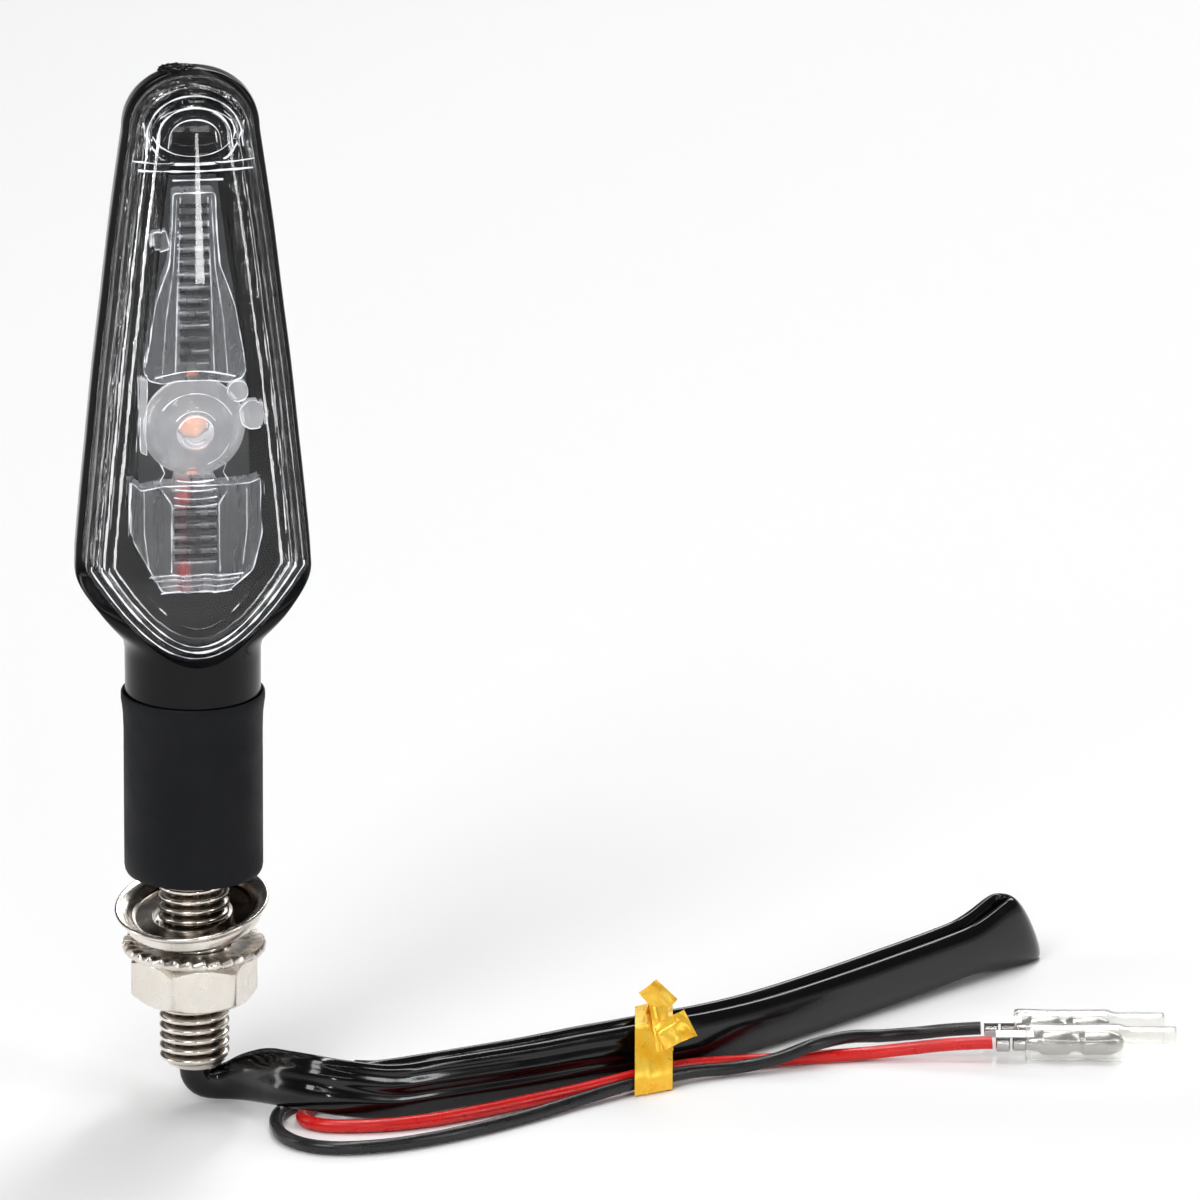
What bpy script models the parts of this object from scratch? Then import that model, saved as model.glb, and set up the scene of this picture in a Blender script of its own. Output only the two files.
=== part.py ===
"""Motorcycle turn signal: a clear-lensed LED head on a rubber stem, with its M10 stem bolt, washers,
nut and two-wire lead.

Metres, +Z up along the stem. The lens faces -Y. The origin is on the bolt's axis, on the underside
of the rubber stem, which is the face that sits on the motorcycle's bracket. The lead lies on a
surface just below the bolt's end.
"""

from math import atan2, cos, pi, radians, sin, sqrt, tan

import bmesh
import bpy
from mathutils import Matrix, Vector

# ---------------------------------------------------------------- driving dimensions
GAP = 0.0003                    # clearance between pieces that touch

# head, from the rubber's underside upwards
NECK_R = 0.00962                # round neck under the head
NECK_BOTTOM_Z = 0.0250
NECK_TOP_Z = 0.0335
DOME_Z = 0.1095                 # where the round top starts
DOME_R = 0.00965
DOME_RISE = 0.00895
DOME_POWER = 2.1
HEAD_TOP_Z = DOME_Z + DOME_RISE
WALL = 0.0016
SEAM_Y = -0.0012                # the lens seats on this plane of the housing
LIP_Y = -0.0022                 # the housing's lip stands this far forward round the lens
RIM = 0.0009                    # the lens's edge lies this far inside the head's outline
SIDE = [                        # (height, half width) of the head, flaring out of the neck and tapering up
    (NECK_TOP_Z, NECK_R), (0.0352, 0.01000), (0.0370, 0.01120), (0.0405, 0.01373), (0.0436, 0.01605),
    (0.0450, 0.01662), (0.0468, 0.01665), (0.0550, 0.01600), (0.0650, 0.01500), (0.0750, 0.01400),
    (0.0850, 0.01280), (0.0950, 0.01165), (0.1050, 0.01030), (DOME_Z, DOME_R),
]
CORNER_Z = 0.0462               # where the head is widest
BACK = [                        # (height, depth behind the stem's axis)
    (NECK_TOP_Z, NECK_R), (0.0440, 0.0110), (0.0560, 0.0114), (0.0720, 0.0110), (0.0900, 0.0098),
    (0.1040, 0.0085), (0.1120, 0.0072), (HEAD_TOP_Z, 0.0050),
]
FRONT = [                       # (height, depth of the lens's face before the stem's axis)
    (0.0300, 0.0097), (0.0450, 0.0104), (0.0600, 0.0102), (0.0750, 0.0096), (0.0900, 0.0087),
    (0.1000, 0.0079), (0.1080, 0.0071), (0.1130, 0.0064), (HEAD_TOP_Z, 0.0055),
]
LENS_V_Z = 0.0333               # the lens's lowest point
LENS_V_SLOPE = 2.6
LENS_V_ROUND = 0.020            # the larger, the rounder the lens's lower edge

# optics and electronics
BOARD_Y = 0.0010
BOARD_T = 0.0012
GUIDE_BACK_Y = -0.0012
GUIDE_FRONT_Y = -0.0052
RIB_PITCH = 0.00175
MAIN_LED_Z = 0.0660
CAVITY_FLOOR_Z = 0.0430         # the housing is solid in front of the wires below this height

# stem
RUBBER_R = 0.00985
RUBBER_LIP_R = 0.01020
RUBBER_H = 0.0270
SPIGOT_R = 0.0075
SPIGOT_BOTTOM_Z = 0.0200
FLANGE_R = 0.0075
FLANGE_Z = (0.0030, 0.0060)
BOLT_R = 0.0050                 # M10
BOLT_BORE_R = 0.0032
BOLT_END_Z = -0.0288
WASHER_BORE_R = 0.0061
WASHER_Z = -0.0076              # the cup washer's floor, where it hangs on the bolt
WASHER_TILT = (radians(-10.0), radians(-7.0))
LOCK_WASHER_Z = (-0.0121, -0.0105)
LOCK_WASHER_R = 0.01025
NUT_Z = (-0.0190, -0.0124)
NUT_FLATS = 0.0160
NUT_TURN = radians(33.6)

# lead
FLOOR_Z = -0.0350
SLEEVE_H = 0.0074               # the flattened sleeve stands on its edge
SLEEVE_T = 0.0030
RUN_SPACING = 0.0033            # between the sleeve's outgoing and returning runs
WIRE_D = 0.0019
COVER_R = 0.0028
COVER_L = 0.0216
TERMINAL_L = 0.0185
COVER_INSET = 0.0045            # from the crimp's end to the cover's mouth
LEAD_AXIS = Vector((cos(radians(7.0)), -sin(radians(7.0)), 0.0))
BLACK_CRIMP = Vector((0.1150, 0.0109, -0.0322))
RED_CRIMP = Vector((0.1158, 0.0047, -0.0322))

# from the bolt's bore, down and over the wires that pass below: (x, y, z, section height, lean)
SLEEVE_START = [
    (0.0000, 0.0000, -0.0288, 0.0046, 0), (0.0000, 0.0000, -0.0306, 0.0044, 0),
    (0.0014, 0.0002, -0.0321, 0.0046, 0), (0.0046, 0.0000, -0.0320, 0.0054, 2),
    (0.0072, -0.0016, -0.0310, 0.0068, 8), (0.0098, -0.0048, -0.0297, 0.0079, 14),
    (0.0124, -0.0086, -0.0289, 0.0080, 20), (0.0158, -0.0113, -0.0287, 0.0080, 20),
    (0.0203, -0.0118, -0.0295, 0.0080, 12),
]
# the middle line between the sleeve's two runs, out to the fold
BUNDLE = [
    (0.0264, -0.0085, -0.0309), (0.0336, -0.0055, -0.0312), (0.0407, -0.0030, -0.0312),
    (0.0480, -0.0005, -0.0311), (0.0552, 0.0020, -0.0308), (0.0624, 0.0043, -0.0306),
    (0.0680, 0.0066, -0.0306), (0.0735, 0.0092, -0.0308), (0.0810, 0.0139, -0.0311),
    (0.0887, 0.0195, -0.0312), (0.0966, 0.0254, -0.0311), (0.1045, 0.0314, -0.0309),
    (0.1124, 0.0374, -0.0306), (0.1190, 0.0422, -0.0301), (0.1240, 0.0459, -0.0297),
]
SLEEVE_END = (0.0222, -0.0066, -0.0309)
FOLD_FLARE = 1.50               # the section is taller at the fold by this factor
FOLD_LEAN = 0.58                # and its lower edge stands further out

BLACK_WIRE = [
    (0.0208, -0.0060, -0.0326), (0.0195, -0.0046, -0.0333), (0.0177, -0.0033, -0.0339),
    (0.0150, -0.0038, -0.0340), (0.0125, -0.0062, -0.0340), (0.0109, -0.0094, -0.0340),
    (0.0103, -0.0134, -0.0340), (0.0109, -0.0180, -0.0340), (0.0136, -0.0219, -0.0340),
    (0.0182, -0.0238, -0.0340), (0.0250, -0.0234, -0.0340), (0.0320, -0.0212, -0.0340),
    (0.0393, -0.0177, -0.0340), (0.0465, -0.0134, -0.0340), (0.0538, -0.0086, -0.0338),
    (0.0606, -0.0046, -0.0335), (0.0660, -0.0017, -0.0334), (0.0716, 0.0007, -0.0335),
    (0.0780, 0.0025, -0.0338), (0.0840, 0.0036, -0.0331), (0.0898, 0.0054, -0.0318),
    (0.0952, 0.0084, -0.0319), (0.1003, 0.0111, -0.0329), (0.1053, 0.0122, -0.0331),
    (0.1103, 0.0117, -0.0326), (0.1147, 0.0109, -0.0322),
]
RED_WIRE = [
    (0.0208, -0.0063, -0.0303), (0.0193, -0.0058, -0.0311), (0.0174, -0.0056, -0.0328),
    (0.0158, -0.0068, -0.0338), (0.0146, -0.0092, -0.0340), (0.0144, -0.0114, -0.0340),
    (0.0156, -0.0134, -0.0340), (0.0187, -0.0148, -0.0340), (0.0256, -0.0151, -0.0340),
    (0.0326, -0.0137, -0.0340), (0.0398, -0.0109, -0.0340), (0.0470, -0.0075, -0.0340),
    (0.0544, -0.0044, -0.0338), (0.0610, -0.0014, -0.0335), (0.0664, 0.0013, -0.0334),
    (0.0718, 0.0036, -0.0335), (0.0785, 0.0053, -0.0339), (0.0850, 0.0060, -0.0340),
    (0.0914, 0.0064, -0.0340), (0.0976, 0.0068, -0.0339), (0.1036, 0.0064, -0.0333),
    (0.1095, 0.0056, -0.0326), (0.1155, 0.0047, -0.0322),
]

TIE_CENTRE = Vector((0.0666, 0.0060, 0.0))
TIE_ANGLE = radians(-7.0)       # the band's own direction
TIE_SKEW = radians(29.0)        # between the band's direction and the bundle's
TIE_W = 0.0054
TIE_T = 0.0004

RED_WIRE_INSIDE = [
    (-0.0014, -0.0001, 0.0585), (-0.0014, -0.0001, 0.0510), (-0.0013, 0.0008, 0.0465),
    (-0.0012, 0.0022, 0.0410), (-0.0012, 0.0022, 0.0340), (-0.0012, 0.0010, 0.0270),
    (-0.0012, 0.0000, 0.0200), (-0.0012, 0.0000, 0.0130), (-0.0012, 0.0000, 0.0000),
    (-0.0012, 0.0000, -0.0140), (-0.0012, 0.0000, -0.0274),
]


# ---------------------------------------------------------------- helpers
def clear_scene():
    for obj in list(bpy.data.objects):
        bpy.data.objects.remove(obj)


def material(name, colour, roughness, metallic=0.0, alpha=1.0):
    mat = bpy.data.materials.new(name)
    mat.use_nodes = True
    shader = mat.node_tree.nodes["Principled BSDF"]
    shader.inputs["Base Color"].default_value = (*colour, 1.0)
    shader.inputs["Roughness"].default_value = roughness
    shader.inputs["Metallic"].default_value = metallic
    shader.inputs["Alpha"].default_value = alpha
    mat.diffuse_color = (*colour, alpha)
    return mat


def add_mesh(name, bm, mat, smooth_below=35.0):
    """Turn a bmesh into a named object, shaded smooth except at edges sharper than smooth_below."""
    bmesh.ops.recalc_face_normals(bm, faces=bm.faces)
    mesh = bpy.data.meshes.new(name)
    bm.to_mesh(mesh)
    bm.free()
    mesh.shade_smooth()
    mesh.set_sharp_from_angle(angle=radians(smooth_below))
    if mat:
        mesh.materials.append(mat)
    obj = bpy.data.objects.new(name, mesh)
    bpy.context.collection.objects.link(obj)
    return obj


def cutter(name, bm):
    obj = add_mesh(name, bm, None)
    obj.hide_render = True
    obj.display_type = "WIRE"
    return obj


def combine(obj, other, operation):
    modifier = obj.modifiers.new(other.name, "BOOLEAN")
    modifier.operation = operation
    modifier.object = other
    modifier.solver = "EXACT"


def loft(rings, cap_ends=True, closed_loop=False):
    """Join rings of equal length with quads. The ends are capped, or joined to each other."""
    bm = bmesh.new()
    verts = [[bm.verts.new(p) for p in ring] for ring in rings]
    pairs = list(zip(verts, verts[1:]))
    if closed_loop:
        pairs.append((verts[-1], verts[0]))
    for low, high in pairs:
        for k in range(len(low)):
            n = (k + 1) % len(low)
            bm.faces.new((low[k], low[n], high[n], high[k]))
    if cap_ends and not closed_loop:
        bm.faces.new(verts[0])
        bm.faces.new(verts[-1])
    return bm


def turned(profile, steps=40, centre=(0.0, 0.0)):
    """Turn a closed (radius, height) outline that clears the axis about +Z."""
    rings = []
    for k in range(steps):
        a = 2 * pi * k / steps
        rings.append([(centre[0] + r * cos(a), centre[1] + r * sin(a), z) for r, z in profile])
    return loft(rings, closed_loop=True)


def spindle(profile, steps=20):
    """A solid turned about +Z from (radius, height) points, with flat ends."""
    rings = []
    for r, z in profile:
        rings.append([(r * cos(2 * pi * k / steps), r * sin(2 * pi * k / steps), z) for k in range(steps)])
    return loft(rings)


def prism(outline, low, high, plane="XZ"):
    """Extrude a flat outline. Its points are (x, z) spread along Y, or (x, y) spread along Z."""
    if plane == "XZ":
        rings = [[(x, level, z) for x, z in outline] for level in (low, high)]
    else:
        rings = [[(x, y, level) for x, y in outline] for level in (low, high)]
    return loft(rings)


def box(low, high):
    (x0, y0, z0), (x1, y1, z1) = low, high
    return prism([(x0, y0), (x1, y0), (x1, y1), (x0, y1)], z0, z1, plane="XY")


def bevel_sharp(bm, width, segments=2, angle=30.0):
    edges = [e for e in bm.edges if e.calc_face_angle(0.0) > radians(angle)]
    bmesh.ops.bevel(bm, geom=edges, offset=width, segments=segments, affect="EDGES", profile=0.5)


def between(points, z):
    """Smooth interpolation through (height, value) points, level with the end values outside them."""
    if z <= points[0][0]:
        return points[0][1]
    if z >= points[-1][0]:
        return points[-1][1]
    k = max(i for i, p in enumerate(points[:-1]) if p[0] <= z)
    slopes = [(b[1] - a[1]) / (b[0] - a[0]) for a, b in zip(points, points[1:])]
    (z0, v0), (z1, v1) = points[k], points[k + 1]
    before = slopes[k] if k == 0 else (slopes[k - 1] + slopes[k]) / 2
    after = slopes[k] if k + 1 == len(slopes) else (slopes[k] + slopes[k + 1]) / 2
    t, h = (z - z0) / (z1 - z0), z1 - z0
    return (
        (2 * t**3 - 3 * t**2 + 1) * v0 + (t**3 - 2 * t**2 + t) * h * before
        + (3 * t**2 - 2 * t**3) * v1 + (t**3 - t**2) * h * after
    )


def smooth_route(points, spacing):
    """Points about `spacing` apart on one smooth curve through the given ones."""
    dense = []
    count = len(points)
    for k in range(count - 1):
        p0, p1, p2, p3 = (Vector(points[min(max(k + j, 0), count - 1)]) for j in (-1, 0, 1, 2))
        for s in range(12):
            t = s / 12
            dense.append(0.5 * (
                2 * p1 + (p2 - p0) * t + (2 * p0 - 5 * p1 + 4 * p2 - p3) * t * t
                + (3 * p1 - p0 - 3 * p2 + p3) * t**3
            ))
    dense.append(Vector(points[-1]))
    along = [0.0]
    for a, b in zip(dense, dense[1:]):
        along.append(along[-1] + (b - a).length)
    steps = max(2, round(along[-1] / spacing))
    out, k = [], 0
    for s in range(steps + 1):
        want = along[-1] * s / steps
        while k < len(along) - 2 and along[k + 1] < want:
            k += 1
        f = (want - along[k]) / max(along[k + 1] - along[k], 1e-9)
        out.append(dense[k].lerp(dense[k + 1], min(max(f, 0.0), 1.0)))
    return out


def wire(name, route, mat, diameter=WIRE_D):
    """A round wire along a route, as a bevelled curve with closed ends."""
    points = smooth_route(route, 2.0 * diameter)
    curve = bpy.data.curves.new(name, "CURVE")
    curve.dimensions = "3D"
    curve.bevel_depth = diameter / 2
    curve.bevel_resolution = 2
    curve.use_fill_caps = True
    spline = curve.splines.new("POLY")
    spline.points.add(len(points) - 1)
    for point, place in zip(spline.points, points):
        point.co = (*place, 1.0)
    spline.use_smooth = True
    curve.materials.append(mat)
    obj = bpy.data.objects.new(name, curve)
    bpy.context.collection.objects.link(obj)
    return obj


# ---------------------------------------------------------------- head
def half_width(z):
    if z <= DOME_Z:
        return between(SIDE, z)
    return DOME_R * max(0.0, 1 - ((z - DOME_Z) / DOME_RISE) ** DOME_POWER) ** (1 / DOME_POWER)


def back_depth(z):
    """Behind the axis; it rounds off towards the head's top."""
    return between(BACK, z) * (1.0 if z < DOME_Z else sqrt(max(0.0, 1 - ((z - DOME_Z) / DOME_RISE) ** 2 * 0.98)))


def housing_ring(z, count=44):
    """One level section: round at the neck, a flat-fronted D at the head. Between them, where the
    collar flares out under the lens, the section is widest in front of the stem's axis."""
    spread = min(max((z - NECK_TOP_Z) / (0.0475 - NECK_TOP_Z), 0.0), 1.0)
    ease = spread * spread * (3 - 2 * spread)
    front = NECK_R + (-LIP_Y - NECK_R) * ease
    boxy_front, full_back = 2 + 5 * ease, 2 + 0.35 * ease
    widest = -0.0045 * sin(pi * spread) ** 2
    ring = []
    for k in range(count):
        a = 2 * pi * k / count
        c, s = cos(a), sin(a)
        power = full_back if s >= 0 else boxy_front
        x = half_width(z) * abs(c) ** (2 / power) * (1 if c >= 0 else -1)
        end = back_depth(z) if s >= 0 else -min(front, max(half_width(z), 0.0008))
        ring.append((x, widest + (end - widest) * abs(s) ** (2 / power), z))
    return ring


def lens_outline(inset, steps=(9, 10, 9)):
    """The lens's front outline moved inwards by `inset`: from its lowest point up the right side, over
    the dome and down the left. Returns (x, z) points, the same number for every inset."""
    edge = RIM + inset

    def v_height(x):
        reach = sqrt(x * x + LENS_V_ROUND**2)
        lean = LENS_V_SLOPE * x / reach
        return LENS_V_Z + LENS_V_SLOPE * (reach - LENS_V_ROUND) + inset * sqrt(1 + lean * lean)

    corner_x = half_width(CORNER_Z) - edge
    for _ in range(8):
        corner_x = half_width(max(v_height(corner_x), CORNER_Z)) - edge
    corner_z = v_height(corner_x)
    half = [(corner_x * k / steps[0], v_height(corner_x * k / steps[0])) for k in range(steps[0] + 1)]
    for k in range(1, steps[1] + 1):
        z = corner_z + (DOME_Z - corner_z) * k / steps[1]
        half.append((half_width(z) - edge, z))
    for k in range(1, steps[2] + 1):
        a = pi / 2 * k / steps[2]
        round_out = (cos(a) ** DOME_POWER + sin(a) ** DOME_POWER) ** (-1 / DOME_POWER)
        half.append(((DOME_R - edge) * cos(a) * round_out, DOME_Z + (DOME_RISE - edge) * sin(a) * round_out))
    return half + [(-x, z) for x, z in reversed(half[1:-1])]


def make_housing(mat):
    levels = [NECK_BOTTOM_Z, 0.0290, NECK_TOP_Z]
    levels += [NECK_TOP_Z + (CORNER_Z - NECK_TOP_Z) * k / 8 for k in range(1, 9)]
    levels += [CORNER_Z + (DOME_Z - CORNER_Z) * k / 12 for k in range(1, 13)]
    levels += [DOME_Z + DOME_RISE * sin(pi / 2 * k / 8) for k in range(1, 8)] + [HEAD_TOP_Z - 0.00008]
    shell = add_mesh("housing", loft([housing_ring(z) for z in levels]), mat)

    spigot = cutter("housing_spigot", spindle(
        [(SPIGOT_R - 0.0004, SPIGOT_BOTTOM_Z), (SPIGOT_R, SPIGOT_BOTTOM_Z + 0.0005),
         (SPIGOT_R, NECK_BOTTOM_Z + 0.001)], 36))
    combine(shell, spigot, "UNION")

    pocket = cutter("lens_pocket", prism(lens_outline(-GAP), SEAM_Y, -0.0140))
    combine(shell, pocket, "DIFFERENCE")

    rings = []
    for s in (-1.0, 0.0, 0.45, 0.75, 0.92, 1.0):
        narrow = max(1 - max(s, 0.0) ** 2.3, 0.0) ** (1 / 2.3) * 0.86 + 0.14
        ring = []
        for x, z in lens_outline(0.0019):
            level = max(0.078 + (z - 0.078) * (1 - 0.10 * max(s, 0.0) ** 2), CAVITY_FLOOR_Z)
            reach = between(BACK, level) * (1 - 0.35 * max(0.0, (level - DOME_Z) / DOME_RISE) ** 2)
            ring.append((x * narrow, -0.006 if s < 0 else s * (reach - WALL), level))
        rings.append(ring)
    cavity = cutter("housing_cavity", loft(rings))
    combine(shell, cavity, "DIFFERENCE")

    for k, (x, z) in enumerate(((0.0, 0.0995), (-0.0058, 0.0575), (0.0058, 0.0575))):
        post = prism([(x + 0.0013 * cos(pi * j / 6), z + 0.0013 * sin(pi * j / 6)) for j in range(12)],
                     BOARD_Y + BOARD_T + GAP, between(BACK, z) - 0.0010)
        combine(shell, cutter(f"board_post_{k + 1}", post), "UNION")

    bore = cutter("wire_bore", loft([
        [(r * cos(2 * pi * k / 24), shift + r * sin(2 * pi * k / 24), z) for k in range(24)]
        for r, shift, z in ((0.0032, 0.0, SPIGOT_BOTTOM_Z - 0.001), (0.0032, 0.0002, NECK_BOTTOM_Z),
                            (0.0027, 0.0022, NECK_TOP_Z), (0.0027, 0.0022, CAVITY_FLOOR_Z + 0.001))]))
    combine(shell, bore, "DIFFERENCE")
    return shell


def lens_ring(inset, below_face):
    """One closed line on the lens: `inset` inside its outline and `below_face` behind its face."""
    return [(x, -(between(FRONT, z) - below_face), z) for x, z in lens_outline(inset)]


def make_lens(mat):
    seat = [(x, SEAM_Y - GAP, z) for x, z in lens_outline(0.0015)]
    rim = [(x, SEAM_Y - GAP, z) for x, z in lens_outline(0.0)]
    inner = [lens_ring(0.0066, 0.0017), lens_ring(0.0050, 0.0020), lens_ring(0.0036, 0.0029),
             lens_ring(0.0020, 0.0040)]
    outer = [lens_ring(0.0002, 0.0024), lens_ring(0.0009, 0.0018), lens_ring(0.0018, 0.0014),
             lens_ring(0.0021, 0.0007), lens_ring(0.0033, 0.0001), lens_ring(0.0046, 0.0)]
    bm = loft([*inner, seat, rim, *outer], cap_ends=False)
    bm.verts.ensure_lookup_table()
    count = len(rim)
    for start in (0, len(bm.verts) - count):
        ring = [bm.verts[start + k] for k in range(count)]
        for k in range(count // 2):
            left_low, left_high = ring[-k % count], ring[-(k + 1) % count]
            face = [ring[k], ring[k + 1], left_high, left_low]
            bm.faces.new(dict.fromkeys(face))
    return add_mesh("lens", bm, mat, 25.0)


def make_upper_light_guide(mat):
    edge = [(0.0029, 0.1015), (0.0034, 0.0910), (0.0045, 0.0860), (0.0061, 0.0815), (0.0074, 0.0760),
            (0.0070, 0.0748), (0.0030, 0.0742)]
    outline = edge + [(-x, z) for x, z in reversed(edge)]
    bm = prism(outline, GUIDE_BACK_Y, GUIDE_FRONT_Y)
    bevel_sharp(bm, 0.0004)
    guide = add_mesh("upper_light_guide", bm, mat)
    lug = cutter("upper_guide_lug", box((-0.0058, -0.0036, 0.0925), (-0.0025, -0.0016, 0.0953)))
    combine(guide, lug, "UNION")
    for k in range(12):
        z = 0.0762 + RIB_PITCH * k
        groove = box((-0.0025, GUIDE_BACK_Y - 0.0010, z), (0.0025, GUIDE_BACK_Y + 0.001, z + RIB_PITCH / 2))
        combine(guide, cutter(f"upper_groove_{k + 1}", groove), "DIFFERENCE")
    return guide


def make_lower_light_guide(mat):
    outline = [(0.0030, 0.0590), (0.0094, 0.0595), (0.0094, 0.0517), (0.0080, 0.0462), (0.0045, 0.0432),
               (-0.0047, 0.0432), (-0.0094, 0.0520), (-0.0094, 0.0595), (-0.0030, 0.0590)]
    bm = prism(outline, GUIDE_BACK_Y, GUIDE_FRONT_Y)
    bevel_sharp(bm, 0.0004)
    guide = add_mesh("lower_light_guide", bm, mat)
    for k in range(5):
        z = 0.0470 + RIB_PITCH * k
        groove = box((-0.0031, GUIDE_BACK_Y - 0.0010, z), (0.0031, GUIDE_BACK_Y + 0.001, z + RIB_PITCH / 2))
        combine(guide, cutter(f"lower_groove_{k + 1}", groove), "DIFFERENCE")
    return guide


def facing_front(bm, x, z):
    """Lay a piece turned about +Z so that its top faces -Y, with its axis through (x, z)."""
    turn = Matrix.Translation((x, 0.0, z)) @ Matrix.Rotation(radians(90.0), 4, "X")
    bmesh.ops.transform(bm, matrix=turn, verts=bm.verts)
    return bm


def make_collimator(mat):
    profile = [(0.0068, -GUIDE_BACK_Y), (0.0072, 0.0018), (0.0072, 0.0026), (0.0066, 0.0040),
               (0.0052, 0.0052), (0.0030, 0.0061), (0.0012, 0.0064)]
    bm = facing_front(spindle(profile, 28), 0.0, 0.0667)
    dome = add_mesh("collimator", bm, mat)
    for k, (x, z, r) in enumerate(((0.0084, 0.0684, 0.0021), (0.0062, 0.0719, 0.0015))):
        tab = facing_front(spindle([(r, 0.0016), (r, 0.0034)], 16), x, z)
        combine(dome, cutter(f"collimator_tab_{k + 1}", tab), "UNION")
    return dome


def make_led(name, x, z, radius, mat):
    profile = [(radius, -BOARD_Y + GAP), (radius, 0.0002), (radius * 0.86, 0.0006), (radius * 0.5, 0.00085),
               (radius * 0.15, 0.0009)]
    return add_mesh(name, facing_front(spindle(profile, 16), x, z), mat)


def make_board(mat):
    edge = [(0.0036, 0.1030), (0.0052, 0.0900), (0.0078, 0.0760), (0.0082, 0.0560), (0.0074, 0.0550)]
    outline = edge + [(-x, z) for x, z in reversed(edge)]
    return add_mesh("circuit_board", prism(outline, BOARD_Y, BOARD_Y + BOARD_T), mat)


def make_board_part(name, x, z, size, mat):
    """A small part soldered to the back of the board."""
    w, h, t = size
    back = BOARD_Y + BOARD_T + GAP
    bm = box((x - w / 2, back, z - h / 2), (x + w / 2, back + t, z + h / 2))
    bevel_sharp(bm, 0.0002, 1)
    return add_mesh(name, bm, mat)


# ---------------------------------------------------------------- stem and fasteners
def make_rubber(mat):
    profile = [
        (RUBBER_R - 0.0006, 0.0), (RUBBER_R - 0.0002, 0.0003), (RUBBER_R, 0.0010), (RUBBER_R, 0.0130),
        (RUBBER_R + 0.0001, 0.0215),
        (RUBBER_LIP_R, 0.0250), (RUBBER_LIP_R, RUBBER_H - 0.0002), (RUBBER_LIP_R - 0.0001, RUBBER_H),
        (NECK_R + 0.0002, RUBBER_H), (NECK_R + 0.0002, NECK_BOTTOM_Z - GAP),
        (SPIGOT_R + GAP, NECK_BOTTOM_Z - GAP), (SPIGOT_R + GAP, SPIGOT_BOTTOM_Z - GAP),
        (0.0040, SPIGOT_BOTTOM_Z - GAP), (0.0040, FLANGE_Z[1] + GAP), (FLANGE_R + GAP, FLANGE_Z[1] + GAP),
        (FLANGE_R + GAP, FLANGE_Z[0] - GAP), (BOLT_R + GAP, FLANGE_Z[0] - GAP), (BOLT_R + GAP, 0.0),
    ]
    return add_mesh("rubber_stem", turned(profile, 44), mat)


def make_bolt(mat):
    chamfer = 0.0008
    profile = [
        (FLANGE_R, FLANGE_Z[0]), (FLANGE_R, FLANGE_Z[1]), (BOLT_BORE_R, FLANGE_Z[1]),
        (BOLT_BORE_R, BOLT_END_Z), (BOLT_R - chamfer, BOLT_END_Z), (BOLT_R, BOLT_END_Z + chamfer),
        (BOLT_R, FLANGE_Z[0]),
    ]
    return add_mesh("stem_bolt", turned(profile, 36), mat)


def make_cup_washer(mat):
    """A dished washer, hanging askew on the bolt. Its floor is at its own origin."""
    profile = [
        (WASHER_BORE_R, 0.0), (0.0091, 0.0), (0.0097, 0.0006), (0.0098, 0.0021), (0.0108, 0.0027),
        (0.0109, 0.0031), (0.0106, 0.0032), (0.0094, 0.0027), (0.0089, 0.0021), (0.0087, 0.0016),
        (0.0083, 0.0014), (WASHER_BORE_R, 0.0014),
    ]
    washer = add_mesh("cup_washer", turned(profile, 44), mat)
    pivot = bpy.data.objects.new("cup_washer_axis", None)
    bpy.context.collection.objects.link(pivot)
    pivot.location = (0.0, 0.0, WASHER_Z)
    washer.parent = pivot
    washer.rotation_euler = (-WASHER_TILT[0], WASHER_TILT[1], 0.0)
    return washer


def make_lock_washer(mat):
    low, high = LOCK_WASHER_Z
    teeth = 28
    rings = []
    for k in range(2 * teeth):
        a = pi * k / teeth
        r = LOCK_WASHER_R if k % 2 else LOCK_WASHER_R - 0.0007
        lift = 0.0 if k % 2 else 0.00025
        profile = [(BOLT_R + GAP, low), (0.0080, low), (r, low + 0.0003), (r, high - 0.0002 + lift),
                   (0.0078, high - 0.0003), (BOLT_R + GAP, high - 0.0003)]
        rings.append([(q * cos(a), q * sin(a), z) for q, z in profile])
    return add_mesh("lock_washer", loft(rings, closed_loop=True), mat, 25.0)


def make_nut(mat):
    """A thin hex nut whose corners are rounded off by a chamfer at both ends."""
    corner = NUT_FLATS / 2 / cos(pi / 6)
    low, high = NUT_Z
    per_side = 6
    rings = []
    for k in range(6 * per_side):
        a = 2 * pi * k / (6 * per_side)
        local = (a + pi / 6) % (pi / 3) - pi / 6
        r = NUT_FLATS / 2 / cos(local)
        cut = (r - NUT_FLATS / 2) / (corner - NUT_FLATS / 2) * 0.0007
        profile = [(BOLT_R + GAP, low), (NUT_FLATS / 2 - 0.0002, low), (r, low + 0.0002 + cut),
                   (r, high - 0.0002 - cut), (NUT_FLATS / 2 - 0.0002, high), (BOLT_R + GAP, high)]
        turn = a + NUT_TURN
        rings.append([(q * cos(turn), q * sin(turn), z) for q, z in profile])
    return add_mesh("hex_nut", loft(rings, closed_loop=True), mat, 25.0)


# ---------------------------------------------------------------- lead
def side_step(points, distance):
    """A line beside another in plan, `distance` to its left."""
    out = []
    for k, p in enumerate(points):
        a, b = Vector(points[max(k - 1, 0)]), Vector(points[min(k + 1, len(points) - 1)])
        d = (b - a).xy.normalized()
        out.append((p[0] - d.y * distance, p[1] + d.x * distance, p[2]))
    return out


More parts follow.
